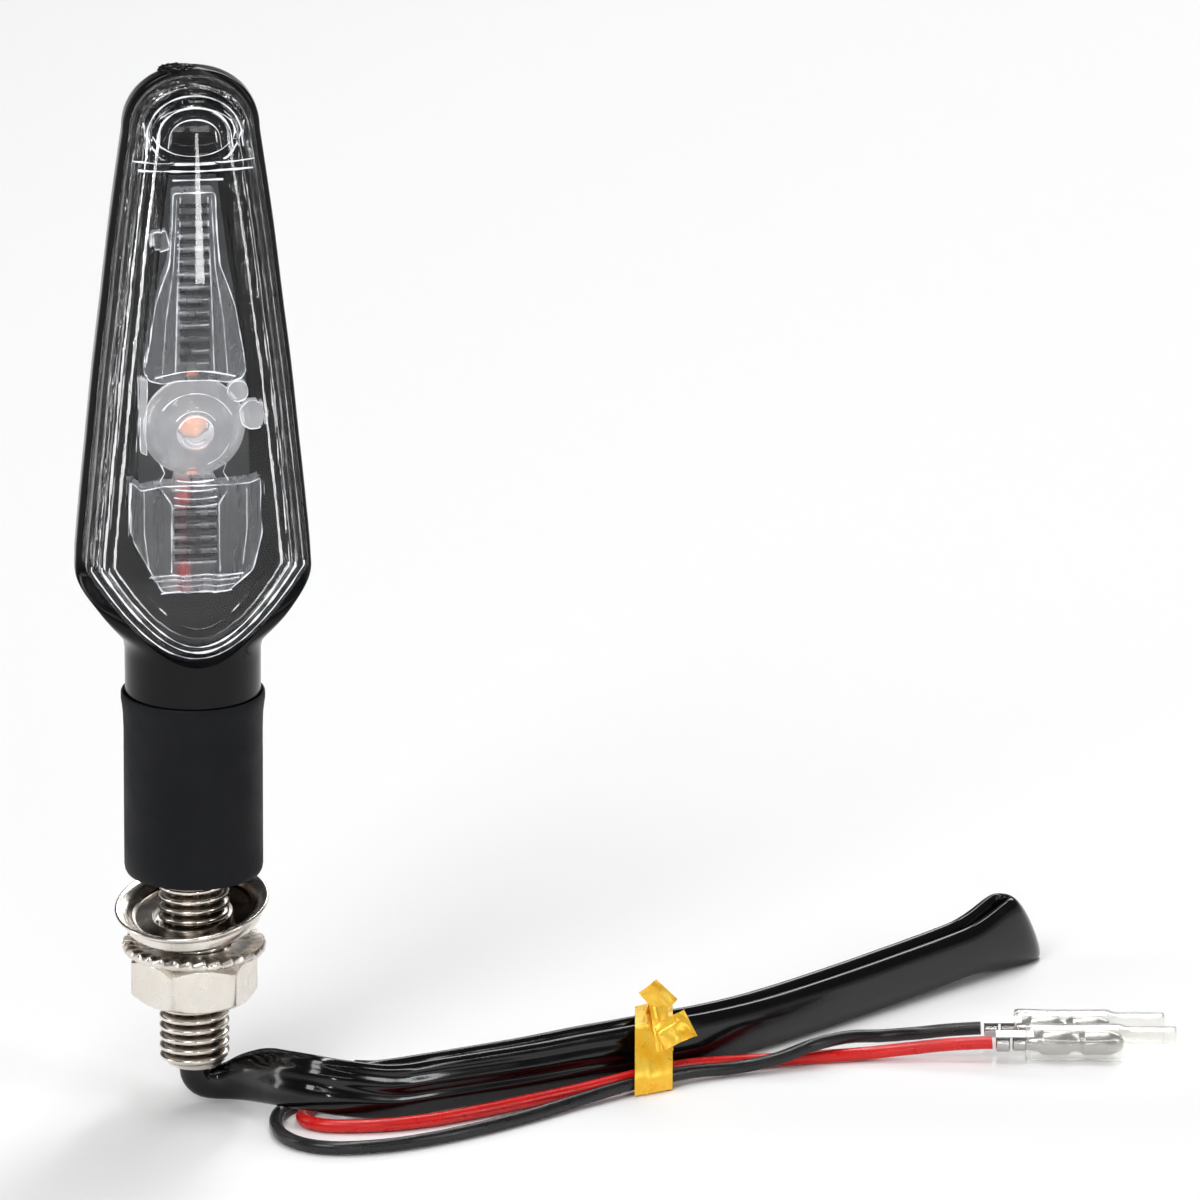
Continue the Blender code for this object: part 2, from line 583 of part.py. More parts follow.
def sleeve_route():
    """The sleeve's middle line from the bolt, out along the bundle, round the fold and back."""
    half = RUN_SPACING / 2
    end, before = Vector(BUNDLE[-1]), Vector(BUNDLE[-2])
    out = (end - before).xy.normalized()
    fold = []
    for k in (1, 2, 3):
        a = -pi / 2 + pi * k / 4
        step = out * (half * 1.5 * cos(a)) + Vector((-out.y, out.x)) * (half * sin(a))
        fold.append((end.x + step.x, end.y + step.y, end.z))
    start = [p[:3] for p in SLEEVE_START]
    back = list(reversed(side_step(BUNDLE, half)))
    return start + side_step(BUNDLE, -half) + fold + back + [SLEEVE_END]


def make_sleeve(mat):
    """A flattened tube, swept as a solid. Its tall side stays in the plane of each bend."""
    points = smooth_route(sleeve_route(), 0.0026)
    tip = Vector(BUNDLE[-1]) + (Vector(BUNDLE[-1]) - Vector(BUNDLE[-2])).normalized() * 0.002
    out = (tip - Vector(BUNDLE[-2])).xy.normalized()
    grown, rings, sides = 0.0, [], 14
    heights, leans, run = [], [], 0.0
    for k, p in enumerate(SLEEVE_START):
        if k:
            run += (Vector(p[:3]) - Vector(SLEEVE_START[k - 1][:3])).length
        heights.append((run, p[3]))
        leans.append((run, radians(p[4])))
    heights.append((run + 0.040, SLEEVE_H))
    leans.append((run + 0.010, 0.0))
    for k, p in enumerate(points):
        if k:
            grown += (p - points[k - 1]).length
        along = (points[min(k + 1, len(points) - 1)] - points[max(k - 1, 0)]).normalized()
        across = Vector((0.0, 0.0, 1.0)).cross(along)
        across = Vector((0.45, 0.89, 0.0)) if across.length < 0.25 or k < 3 else across.normalized()
        tall = along.cross(across).normalized()
        across = tall.cross(along).normalized()
        near = max(0.0, 1 - (p - tip).length / 0.013)
        flare = 1 + (FOLD_FLARE - 1) * near * near * (3 - 2 * near)
        height = between(heights, grown) * flare
        turn = Matrix.Rotation(-between(leans, grown), 3, along)
        across, tall = turn @ across, turn @ tall
        ring = []
        for j in range(sides):
            a = 2 * pi * j / sides
            c, s = cos(a), sin(a)
            u = abs(c) ** 0.8 * (1 if c >= 0 else -1) * SLEEVE_T / 2
            v = abs(s) ** 0.8 * (1 if s >= 0 else -1) * height / 2
            place = p + across * u + tall * v
            lean = -FOLD_LEAN * near * near * v
            ring.append(place + Vector((out.x, out.y, 0.0)) * lean)
        rings.append(ring)
    return add_mesh("pvc_sleeve", loft(rings), mat)


def along_lead(bm, start):
    """Lay a piece turned about +Z along the lead's direction, with its own origin at `start`."""
    turn = Vector((0.0, 0.0, 1.0)).rotation_difference(LEAD_AXIS).to_matrix().to_4x4()
    bmesh.ops.transform(bm, matrix=Matrix.Translation(start) @ turn, verts=bm.verts)
    return bm


def make_terminal(name, start, mat):
    """A bullet terminal: a crimped barrel, a neck and a bullet with a snap groove."""
    profile = [
        (0.0013, 0.0), (0.0015, 0.0003), (0.0015, 0.0019), (0.0011, 0.0024), (0.0014, 0.0029),
        (0.0014, 0.0044), (0.0012, 0.0052), (0.0018, 0.0068), (0.0018, 0.0108), (0.0014, 0.0114),
        (0.0014, 0.0122), (0.0018, 0.0128), (0.0018, 0.0168), (0.0013, 0.0180), (0.0008, TERMINAL_L),
    ]
    return add_mesh(name, along_lead(spindle(profile, 16), start), mat)


def make_cover(name, start, mat):
    """A clear insulating sleeve, open at both ends and narrower at its far end."""
    step = 0.0142
    bore = 0.0021
    profile = [
        (bore, 0.0), (COVER_R - 0.0003, 0.0), (COVER_R, 0.0004), (COVER_R, step - 0.0006),
        (COVER_R - 0.0004, step + 0.0004), (COVER_R - 0.0004, COVER_L - 0.0004),
        (COVER_R - 0.0007, COVER_L), (bore - 0.0002, COVER_L), (bore - 0.0002, COVER_L - 0.001),
    ]
    bm = turned([(r, z) for r, z in profile], 24)
    return add_mesh(name, along_lead(bm, start + LEAD_AXIS * COVER_INSET), mat)


def make_tie(mat):
    """A foil twist tie: a skewed band round the bundle, and its two ends folded down over the front."""
    bottom = FLOOR_Z + TIE_T
    loop = [(0.0042, bottom), (0.0042, -0.0268), (0.0035, -0.0264), (-0.0036, -0.0264), (-0.0043, -0.0268),
            (-0.0092, -0.0317), (-0.0098, -0.0329), (-0.0095, bottom)]
    centre = Vector((sum(p[0] for p in loop) / len(loop), sum(p[1] for p in loop) / len(loop)))
    outer = []
    for k, p in enumerate(loop):
        a, b = Vector(loop[k - 1]), Vector(loop[(k + 1) % len(loop)])
        normal = Vector(((b - a).y, -(b - a).x)).normalized()
        if normal.dot(Vector(p) - centre) < 0:
            normal = -normal
        place = Vector(p) + normal * TIE_T
        outer.append((place.x, max(place.y, FLOOR_Z)))
    rings = []
    for near, far in zip(loop, outer):
        rings.append([(s * TIE_W / 2, n, z) for s, (n, z) in ((-1, near), (1, near), (1, far), (-1, far))])
    ends = loft([[(t, n, z) for n, z in (
        (0.0012, -0.0262), (-0.0038, -0.0262), (-0.0072, -0.0297), (-0.0083, -0.0287), (-0.0048, -0.0240),
        (0.0012, -0.0236))] for t in (-0.0020, 0.0045)])
    parts = []
    for name, bm in (("twist_tie", loft(rings, closed_loop=True)), ("twist_tie_ends", ends)):
        for vert in bm.verts:
            vert.co.y += vert.co.x * tan(TIE_SKEW)
        place = Matrix.Translation(TIE_CENTRE) @ Matrix.Rotation(TIE_ANGLE, 4, "Z")
        bmesh.ops.transform(bm, matrix=place, verts=bm.verts)
        parts.append(add_mesh(name, bm, mat) if name == "twist_tie" else cutter(name, bm))
    combine(parts[0], parts[1], "UNION")
    return parts[0]


# ---------------------------------------------------------------- the whole part
def build():
    clear_scene()
    gloss_black = material("gloss_black", (0.010, 0.010, 0.012), 0.12)
    clear = material("clear_plastic", (0.95, 0.96, 0.97), 0.03, alpha=0.3)
    board_green = material("board_green", (0.02, 0.06, 0.03), 0.45)
    amber = material("amber_led", (0.95, 0.35, 0.08), 0.30)
    chip_black = material("chip_black", (0.02, 0.02, 0.02), 0.40)
    rubber = material("matt_rubber", (0.018, 0.018, 0.020), 0.62)
    nickel = material("nickel_plate", (0.80, 0.76, 0.70), 0.22, 1.0)
    pvc_black = material("black_pvc", (0.008, 0.008, 0.009), 0.15)
    red = material("red_insulation", (0.62, 0.01, 0.01), 0.30)
    tin = material("tinned_brass", (0.78, 0.77, 0.74), 0.25, 1.0)
    gold = material("gold_foil", (0.95, 0.62, 0.06), 0.18, 1.0)

    make_housing(gloss_black)
    make_lens(clear)
    make_upper_light_guide(clear)
    make_collimator(clear)
    make_lower_light_guide(clear)
    make_board(board_green)
    make_led("main_led", 0.0, MAIN_LED_Z, 0.0017, amber)
    make_led("upper_led", 0.0, 0.0730, 0.0011, amber)
    make_led("lower_led", 0.0, 0.0605, 0.0011, amber)
    make_board_part("resistor_1", -0.0030, 0.0700, (0.0030, 0.0016, 0.0006), chip_black)
    make_board_part("resistor_2", 0.0030, 0.0700, (0.0030, 0.0016, 0.0006), chip_black)
    make_board_part("blocking_diode", 0.0, 0.0800, (0.0026, 0.0044, 0.0011), chip_black)

    make_rubber(rubber)
    make_bolt(nickel)
    make_cup_washer(nickel)
    make_lock_washer(nickel)
    make_nut(nickel)

    make_sleeve(pvc_black)
    wire("black_wire", BLACK_WIRE, pvc_black)
    wire("red_wire", RED_WIRE, red)
    wire("red_wire_inside", RED_WIRE_INSIDE, red)
    wire("black_wire_inside", [(-x, y, z) for x, y, z in RED_WIRE_INSIDE], pvc_black)
    make_terminal("black_terminal", BLACK_CRIMP, tin)
    make_terminal("red_terminal", RED_CRIMP, tin)
    make_cover("black_terminal_cover", BLACK_CRIMP, clear)
    make_cover("red_terminal_cover", RED_CRIMP, clear)
    make_tie(gold)


build()
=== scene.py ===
"""Looks of the motorcycle turn signal: lens and light guides, housing, rubber stem, threaded bolt with its
washers and nut, flattened PVC sleeve, two wires, bullet terminals in clear covers and a foil twist tie.

Metres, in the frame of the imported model: +Z up along the stem, the lens faces -Y.
"""

from math import cos, exp, pi, radians, sin, sqrt, tan

import bmesh
import bpy
from mathutils import Matrix, Quaternion, Vector, noise


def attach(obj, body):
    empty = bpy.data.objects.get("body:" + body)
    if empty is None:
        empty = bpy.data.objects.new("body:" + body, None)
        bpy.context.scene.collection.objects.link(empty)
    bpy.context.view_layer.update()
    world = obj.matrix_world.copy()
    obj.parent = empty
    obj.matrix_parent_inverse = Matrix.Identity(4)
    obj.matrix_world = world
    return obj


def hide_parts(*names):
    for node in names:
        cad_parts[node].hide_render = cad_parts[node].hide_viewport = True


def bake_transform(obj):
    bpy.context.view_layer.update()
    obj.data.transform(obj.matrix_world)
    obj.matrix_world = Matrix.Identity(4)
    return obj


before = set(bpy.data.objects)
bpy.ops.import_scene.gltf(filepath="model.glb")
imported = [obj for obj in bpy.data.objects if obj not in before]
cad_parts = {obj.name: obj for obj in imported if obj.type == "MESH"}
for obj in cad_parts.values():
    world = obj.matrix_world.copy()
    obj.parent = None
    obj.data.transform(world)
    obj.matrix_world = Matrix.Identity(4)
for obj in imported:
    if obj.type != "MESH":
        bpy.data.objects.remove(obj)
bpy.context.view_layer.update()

noise.seed_set(1)               # without a seed, noise_vector differs from run to run
GAP = 0.0003                    # clearance between the rubber or fasteners and what they sit on

# ---------------------------------------------------------------- head
NECK_R = 0.00962
NECK_BOTTOM_Z = 0.0250
NECK_TOP_Z = 0.0335
DOME_Z = 0.1095
DOME_R = 0.00965
DOME_RISE = 0.00895
DOME_POWER = 2.1
HEAD_TOP_Z = DOME_Z + DOME_RISE
WALL = 0.0016
SEAM_Y = -0.0012
LIP_Y = -0.0022
RIM = 0.0009
SIDE = [
    (NECK_TOP_Z, NECK_R), (0.0352, 0.01000), (0.0370, 0.01120), (0.0405, 0.01373), (0.0436, 0.01605),
    (0.0450, 0.01662), (0.0468, 0.01665), (0.0550, 0.01600), (0.0650, 0.01500), (0.0750, 0.01400),
    (0.0850, 0.01280), (0.0950, 0.01165), (0.1050, 0.01030), (DOME_Z, DOME_R),
]
CORNER_Z = 0.0462
BACK = [
    (NECK_TOP_Z, NECK_R), (0.0440, 0.0110), (0.0560, 0.0114), (0.0720, 0.0110), (0.0900, 0.0098),
    (0.1040, 0.0085), (0.1120, 0.0072), (HEAD_TOP_Z, 0.0050),
]
FRONT = [
    (0.0300, 0.0097), (0.0450, 0.0104), (0.0600, 0.0102), (0.0750, 0.0096), (0.0900, 0.0087),
    (0.1000, 0.0079), (0.1080, 0.0071), (0.1130, 0.0064), (HEAD_TOP_Z, 0.0055),
]
LENS_V_Z = 0.0333
LENS_V_SLOPE = 2.6
LENS_V_ROUND = 0.020
FACE_INSET = 0.0046             # from the lens's edge to its flat face
WINDOW_BAR_Z = 0.1054           # a ledge across the inside of the lens, below its round top
BULGE_Z = 0.1102                # an oval swelling above the ledge
LENS_STEPS = (26, 110, 26)      # points along half the outline: V, side, dome
GUIDE_BACK_Y = -0.0012
GUIDE_FRONT_Y = -0.0052
RIB_PITCH = 0.00186
COLLIMATOR_Z = 0.0667
COLLIMATOR_R = 0.0072
TABS = ((0.0084, 0.0684, 0.0021), (0.0062, 0.0719, 0.0015))     # the collimator's: x, z, radius
CAVITY_FLOOR_Z = 0.0430

# ---------------------------------------------------------------- stem and fasteners
RUBBER_R = 0.00985
RUBBER_LIP_R = 0.01020
RUBBER_H = 0.0270
RUBBER_SPLIT_Z = 0.0125         # where the rubber's two joints meet
LOWER_BEND = (("stem", "flexing_rubber"), (0.0050, RUBBER_SPLIT_Z))
UPPER_BEND = (("flexing_rubber", "head"), (RUBBER_SPLIT_Z, 0.0200))
SPIGOT_R = 0.0075
SPIGOT_BOTTOM_Z = 0.0200
FLANGE_R = 0.0075
FLANGE_Z = (0.0030, 0.0060)
THREAD_R = 0.00502
THREAD_DEPTH = 0.00085
THREAD_PITCH = 0.0015
BOLT_BORE_R = 0.0032
BOLT_END_Z = -0.0288
WASHER_BORE_R = 0.0056
WASHER_Z = -0.0076
WASHER_TILT = (radians(-10.0), radians(-7.0))
LOCK_WASHER_Z = (-0.0121, -0.0105)
LOCK_WASHER_R = 0.01025
NUT_Z = (-0.0190, -0.0124)
NUT_FLATS = 0.0160
NUT_TURN = radians(33.6)
NUT_BORE_R = 0.0053

# ---------------------------------------------------------------- lead
FLOOR_Z = -0.0350
SLEEVE_H = 0.0074
SLEEVE_T = 0.0030
RUN_SPACING = 0.0033
WIRE_D = 0.0019
COVER_R = 0.0028
COVER_L = 0.0216
COVER_INSET = 0.0045
TERMINAL_L = 0.0185
LEAD_AXIS = Vector((cos(radians(7.0)), -sin(radians(7.0)), 0.0))
BLACK_CRIMP = Vector((0.1150, 0.0109, -0.0322))
RED_CRIMP = Vector((0.1158, 0.0047, -0.0322))

# from the bolt's bore, down and over the wires that pass below: (x, y, z, section height, lean)
SLEEVE_START = [
    (0.0000, 0.0000, -0.0288, 0.0046, 0), (0.0000, 0.0000, -0.0306, 0.0044, 0),
    (0.0014, 0.0002, -0.0321, 0.0046, 0), (0.0046, 0.0000, -0.0320, 0.0054, 2),
    (0.0072, -0.0016, -0.0310, 0.0068, 8), (0.0098, -0.0048, -0.0297, 0.0079, 14),
    (0.0124, -0.0086, -0.0289, 0.0080, 20), (0.0158, -0.0113, -0.0287, 0.0080, 20),
    (0.0203, -0.0118, -0.0295, 0.0080, 12),
]
# the middle line between the sleeve's two runs, out to the fold
BUNDLE = [
    (0.0264, -0.0085, -0.0309), (0.0336, -0.0055, -0.0312), (0.0407, -0.0030, -0.0312),
    (0.0480, -0.0005, -0.0311), (0.0552, 0.0020, -0.0308), (0.0624, 0.0043, -0.0306),
    (0.0680, 0.0066, -0.0306), (0.0735, 0.0092, -0.0308), (0.0810, 0.0139, -0.0311),
    (0.0887, 0.0195, -0.0312), (0.0966, 0.0254, -0.0311), (0.1045, 0.0314, -0.0309),
    (0.1124, 0.0374, -0.0306), (0.1190, 0.0422, -0.0301), (0.1240, 0.0459, -0.0297),
]
SLEEVE_END = (0.0222, -0.0066, -0.0309)
FOLD_FLARE = 1.50
FOLD_LEAN = 0.58

BLACK_WIRE = [
    (0.0208, -0.0060, -0.0326), (0.0195, -0.0046, -0.0333), (0.0177, -0.0033, -0.0339),
    (0.0150, -0.0038, -0.0340), (0.0125, -0.0062, -0.0340), (0.0109, -0.0094, -0.0340),
    (0.0103, -0.0134, -0.0340), (0.0109, -0.0180, -0.0340), (0.0136, -0.0219, -0.0340),
    (0.0182, -0.0238, -0.0340), (0.0250, -0.0234, -0.0340), (0.0320, -0.0212, -0.0340),
    (0.0393, -0.0177, -0.0340), (0.0465, -0.0134, -0.0340), (0.0538, -0.0086, -0.0338),
    (0.0606, -0.0046, -0.0335), (0.0660, -0.0017, -0.0334), (0.0716, 0.0007, -0.0335),
    (0.0780, 0.0025, -0.0338), (0.0840, 0.0036, -0.0331), (0.0898, 0.0054, -0.0318),
    (0.0952, 0.0084, -0.0319), (0.1003, 0.0111, -0.0329), (0.1053, 0.0122, -0.0331),
    (0.1103, 0.0117, -0.0326), (0.1147, 0.0109, -0.0322),
]
RED_WIRE = [
    (0.0208, -0.0063, -0.0303), (0.0193, -0.0058, -0.0311), (0.0174, -0.0056, -0.0328),
    (0.0158, -0.0068, -0.0338), (0.0146, -0.0092, -0.0340), (0.0144, -0.0114, -0.0340),
    (0.0156, -0.0134, -0.0340), (0.0187, -0.0148, -0.0340), (0.0256, -0.0151, -0.0340),
    (0.0326, -0.0137, -0.0340), (0.0398, -0.0109, -0.0340), (0.0470, -0.0075, -0.0340),
    (0.0544, -0.0044, -0.0338), (0.0610, -0.0014, -0.0335), (0.0664, 0.0013, -0.0334),
    (0.0718, 0.0036, -0.0335), (0.0785, 0.0053, -0.0339), (0.0850, 0.0060, -0.0340),
    (0.0914, 0.0064, -0.0340), (0.0976, 0.0068, -0.0339), (0.1036, 0.0064, -0.0333),
    (0.1095, 0.0056, -0.0326), (0.1155, 0.0047, -0.0322),
]
RED_WIRE_INSIDE = [
    (-0.0014, -0.0001, 0.0585), (-0.0014, -0.0001, 0.0510), (-0.0013, 0.0008, 0.0465),
    (-0.0012, 0.0022, 0.0410), (-0.0012, 0.0022, 0.0340), (-0.0012, 0.0010, 0.0270),
    (-0.0012, 0.0000, 0.0200), (-0.0012, 0.0000, 0.0130), (-0.0012, 0.0000, 0.0000),
    (-0.0012, 0.0000, -0.0140), (-0.0012, 0.0000, -0.0274),
]

TIE_CENTRE = Vector((0.0666, 0.0060, 0.0))
TIE_ANGLE = radians(-7.0)
TIE_SKEW = radians(29.0)
TIE_W = 0.0054
TIE_T = 0.0004

# ---------------------------------------------------------------- camera
CAMERA_TARGET = Vector((0.05697, -0.0070, 0.04045))
CAMERA_DISTANCE = 2.0
CAMERA_YAW = radians(7.0)
CAMERA_RISE = radians(18.0)
CAMERA_ROLL = 0.0045
CAMERA_LENS = 426.0


# ================================================================ helpers
def between(points, z):
    """Smooth interpolation through (place, value) points, level with the end values outside them."""
    if z <= points[0][0]:
        return points[0][1]
    if z >= points[-1][0]:
        return points[-1][1]
    k = max(i for i, p in enumerate(points[:-1]) if p[0] <= z)
    slopes = [(b[1] - a[1]) / (b[0] - a[0]) for a, b in zip(points, points[1:])]
    (z0, v0), (z1, v1) = points[k], points[k + 1]
    before = slopes[k] if k == 0 else (slopes[k - 1] + slopes[k]) / 2
    after = slopes[k] if k + 1 == len(slopes) else (slopes[k] + slopes[k + 1]) / 2
    t, h = (z - z0) / (z1 - z0), z1 - z0
    return (
        (2 * t**3 - 3 * t**2 + 1) * v0 + (t**3 - 2 * t**2 + t) * h * before
        + (3 * t**2 - 2 * t**3) * v1 + (t**3 - t**2) * h * after
    )


def ease(t):
    t = min(max(t, 0.0), 1.0)
    return t * t * (3 - 2 * t)


def smooth_route(points, spacing):
    """Points about `spacing` apart on one smooth curve through the given ones."""
    dense = []
    count = len(points)
    for k in range(count - 1):
        p0, p1, p2, p3 = (Vector(points[min(max(k + j, 0), count - 1)]) for j in (-1, 0, 1, 2))
        for s in range(12):
            t = s / 12
            dense.append(0.5 * (
                2 * p1 + (p2 - p0) * t + (2 * p0 - 5 * p1 + 4 * p2 - p3) * t * t
                + (3 * p1 - p0 - 3 * p2 + p3) * t**3
            ))
    dense.append(Vector(points[-1]))
    along = [0.0]
    for a, b in zip(dense, dense[1:]):
        along.append(along[-1] + (b - a).length)
    steps = max(2, round(along[-1] / spacing))
    out, k = [], 0
    for s in range(steps + 1):
        want = along[-1] * s / steps
        while k < len(along) - 2 and along[k + 1] < want:
            k += 1
        f = (want - along[k]) / max(along[k + 1] - along[k], 1e-9)
        out.append(dense[k].lerp(dense[k + 1], min(max(f, 0.0), 1.0)))
    return out


def finished(name, bm, mat, smooth_below=35.0):
    """Turn a bmesh into a named object, shaded smooth except at edges sharper than smooth_below."""
    bmesh.ops.recalc_face_normals(bm, faces=bm.faces)
    if bm.calc_volume(signed=True) < 0:
        bmesh.ops.reverse_faces(bm, faces=bm.faces)
    mesh = bpy.data.meshes.new(name)
    bm.to_mesh(mesh)
    bm.free()
    mesh.shade_smooth()
    mesh.set_sharp_from_angle(angle=radians(smooth_below))
    if mat:
        mesh.materials.append(mat)
    obj = bpy.data.objects.new(name, mesh)
    bpy.context.collection.objects.link(obj)
    return obj


def loft(rings, cap_ends=True, closed_loop=False, bm=None):
    """Join rings of equal length with quads. The ends are capped, or joined to each other."""
    bm = bm or bmesh.new()
    verts = [[bm.verts.new(p) for p in ring] for ring in rings]
    pairs = list(zip(verts, verts[1:]))
    if closed_loop:
        pairs.append((verts[-1], verts[0]))
    for low, high in pairs:
        for k in range(len(low)):
            n = (k + 1) % len(low)
            bm.faces.new((low[k], low[n], high[n], high[k]))
    if cap_ends and not closed_loop:
        bm.faces.new(verts[0])
        bm.faces.new(verts[-1])
    return bm


def circle(radius, z, steps, x=0.0, y=0.0):
    """A level ring of points round (x, y)."""
    angles = [2 * pi * k / steps for k in range(steps)]
    return [(x + radius * cos(a), y + radius * sin(a), z) for a in angles]


def signed_power(value, power):
    """The value raised to a power, with its sign kept."""
    return abs(value) ** power * (1 if value >= 0 else -1)


def turned(profile, steps=96, bm=None):
    """Turn a closed (radius, height) outline that clears the axis about +Z."""
    rings = []
    for k in range(steps):
        a = 2 * pi * k / steps
        rings.append([(r * cos(a), r * sin(a), z) for r, z in profile])
    return loft(rings, closed_loop=True, bm=bm)


def spindle(profile, steps=32, bm=None):
    """A solid turned about +Z from (radius, height) points, with flat ends."""
    return loft([circle(r, z, steps) for r, z in profile], bm=bm)


def rounded(profile, radius, steps=4, closed=True):
    """Round every corner of a flat outline by up to `radius`."""
    out = []
    count = len(profile)
    for k, p in enumerate(profile):
        if not closed and k in (0, count - 1):
            out.append(tuple(p))
            continue
        p = Vector(p)
        a, b = Vector(profile[k - 1]), Vector(profile[(k + 1) % count])
        cut = min(radius, (a - p).length * 0.45, (b - p).length * 0.45)
        start, end = p + (a - p).normalized() * cut, p + (b - p).normalized() * cut
        for s in range(steps + 1):
            t = s / steps
            out.append(tuple((1 - t) ** 2 * start + 2 * t * (1 - t) * p + t * t * end))
    return out


def bevelled(bm, width, segments=3, angle=30.0):
    edges = [e for e in bm.edges if e.calc_face_angle(0.0) > radians(angle)]
    bmesh.ops.bevel(bm, geom=edges, offset=width, segments=segments, affect="EDGES", profile=0.5)
    return bm


def prism(outline, low, high, bm=None):
    """Extrude a flat (x, z) outline along Y."""
    return loft([[(x, level, z) for x, z in outline] for level in (low, high)], bm=bm)


def hollowed(obj, cutters, operation="DIFFERENCE"):
    """Cut or join helper solids into a piece for good, and remove the helpers."""
    for other in cutters:
        modifier = obj.modifiers.new(other.name, "BOOLEAN")
        modifier.operation = operation
        modifier.object = other
        modifier.solver = "EXACT"
    graph = bpy.context.evaluated_depsgraph_get()
    mesh = bpy.data.meshes.new_from_object(obj.evaluated_get(graph))
    obj.modifiers.clear()
    old, name = obj.data, obj.data.name
    obj.data = mesh
    bpy.data.meshes.remove(old)
    mesh.name = name
    for other in cutters:
        bpy.data.objects.remove(other)
    return obj


def ridden(obj, body, slot_name, *nodes):
    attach(obj, body)
    if nodes:
        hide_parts(*nodes)
    return obj


def blended(obj, node):
    """A piece that bends across a joint of the stem: its two bodies and two heights on its axis."""
    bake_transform(obj)
    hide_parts(node)


def marked(obj, attribute, values):
    """Store one number a point, for the piece's material to read."""
    obj.data.attributes.new(attribute, "FLOAT", "POINT").data.foreach_set("value", values)
    return obj


# ================================================================ materials
class Shader:
    """A node material being built: a Principled shader with procedural inputs."""

    def __init__(self, name, colour, roughness, metallic=0.0, **sockets):
        self.mat = bpy.data.materials.new(name)
        self.mat.use_nodes = True
        self.nodes, self.links = self.mat.node_tree.nodes, self.mat.node_tree.links
        self.main = self.nodes["Principled BSDF"]
        self.main.inputs["Base Color"].default_value = (*colour, 1.0)
        self.main.inputs["Roughness"].default_value = roughness
        self.main.inputs["Metallic"].default_value = metallic
        for socket, value in sockets.items():
            self.main.inputs[socket.replace("_", " ")].default_value = value
        self.place = self.nodes.new("ShaderNodeTexCoord").outputs["Object"]
        self.bump_chain = None

    def node(self, kind, **values):
        made = self.nodes.new("ShaderNode" + kind)
        for key, value in values.items():
            if key in made.inputs:
                made.inputs[key].default_value = value
            else:
                setattr(made, key, value)
        return made

    def stretched(self, scale):
        mapping = self.node("Mapping")
        mapping.inputs["Scale"].default_value = scale
        self.links.new(self.place, mapping.inputs["Vector"])
        return mapping.outputs["Vector"]

    def noise(self, scale, detail=4.0, stretch=None, roughness=0.5):
        made = self.node("TexNoise", Scale=scale, Detail=detail, Roughness=roughness)
        self.links.new(self.stretched(stretch) if stretch else self.place, made.inputs["Vector"])
        return made.outputs["Fac"]

    def cells(self, scale, stretch=None, feature="F1"):
        made = self.node("TexVoronoi", Scale=scale)
        made.feature = feature
        self.links.new(self.stretched(stretch) if stretch else self.place, made.inputs["Vector"])
        return made.outputs["Distance"]

    def spread(self, source, low, high, to_low, to_high):
        made = self.node("MapRange")
        for key, value in zip(("From Min", "From Max", "To Min", "To Max"), (low, high, to_low, to_high)):
            made.inputs[key].default_value = value
        self.links.new(source, made.inputs["Value"])
        return made.outputs["Result"]

    def roughen(self, source, low, high, to_low, to_high):
        self.links.new(self.spread(source, low, high, to_low, to_high), self.main.inputs["Roughness"])

    def tint(self, source, low, high, dark, light):
        ramp = self.node("ValToRGB")
        first, last = ramp.color_ramp.elements
        first.position, first.color = low, (*dark, 1.0)
        last.position, last.color = high, (*light, 1.0)
        self.links.new(source, ramp.inputs["Fac"])
        self.links.new(ramp.outputs["Color"], self.main.inputs["Base Color"])
        return ramp

    def mixed_tint(self, factor, ramp, colour, blend_type="MIX"):
        """Blend the tint's ramp with another colour, for the base colour."""
        mix = self.node("Mix", data_type="RGBA", blend_type=blend_type)
        first, second = [i for i in mix.inputs if i.type == "RGBA"]
        self.links.new(factor, mix.inputs["Factor"])
        self.links.new(ramp.outputs["Color"], first)
        second.default_value = (*colour, 1.0)
        self.links.new([o for o in mix.outputs if o.type == "RGBA"][0], self.main.inputs["Base Color"])

    def vector_maths(self, operation, source, value=None):
        made = self.node("VectorMath", operation=operation)
        self.links.new(source, made.inputs[0])
        if value is not None:
            made.inputs[1].default_value = value
        return made.outputs["Value" if operation == "LENGTH" else "Vector"]

    def maths(self, operation, *inputs):
        made = self.node("Math", operation=operation)
        for socket, value in zip(made.inputs, inputs):
            if isinstance(value, float):
                socket.default_value = value
            else:
                self.links.new(value, socket)
        return made.outputs["Value"]

    def bump(self, source, height):
        made = self.node("Bump", Strength=1.0, Distance=height)
        self.links.new(source, made.inputs["Height"])
        if self.bump_chain:
            self.links.new(self.bump_chain, made.inputs["Normal"])
        self.bump_chain = made.outputs["Normal"]
        self.links.new(self.bump_chain, self.main.inputs["Normal"])

    def lets_lamps_through(self, share=0.85):
        """Glass whose shadow is nearly clear, so that the lamps reach what is behind it."""
        path, clear = self.node("LightPath"), self.node("BsdfTransparent")
        clear.inputs["Color"].default_value = (share, share, share, 1.0)
        mix, out = self.node("MixShader"), self.nodes["Material Output"]
        self.links.new(path.outputs["Is Shadow Ray"], mix.inputs["Fac"])
        self.links.new(self.main.outputs["BSDF"], mix.inputs[1])
        self.links.new(clear.outputs["BSDF"], mix.inputs[2])
        self.links.new(mix.outputs["Shader"], out.inputs["Surface"])


def gloss_black():
    s = Shader("gloss_black_plastic", (0.003, 0.003, 0.0036), 0.16, Specular_IOR_Level=0.20)
    s.roughen(s.noise(260.0), 0.3, 0.7, 0.12, 0.24)
    s.bump(s.noise(110.0, 2.0), 0.000060)
    return s.mat


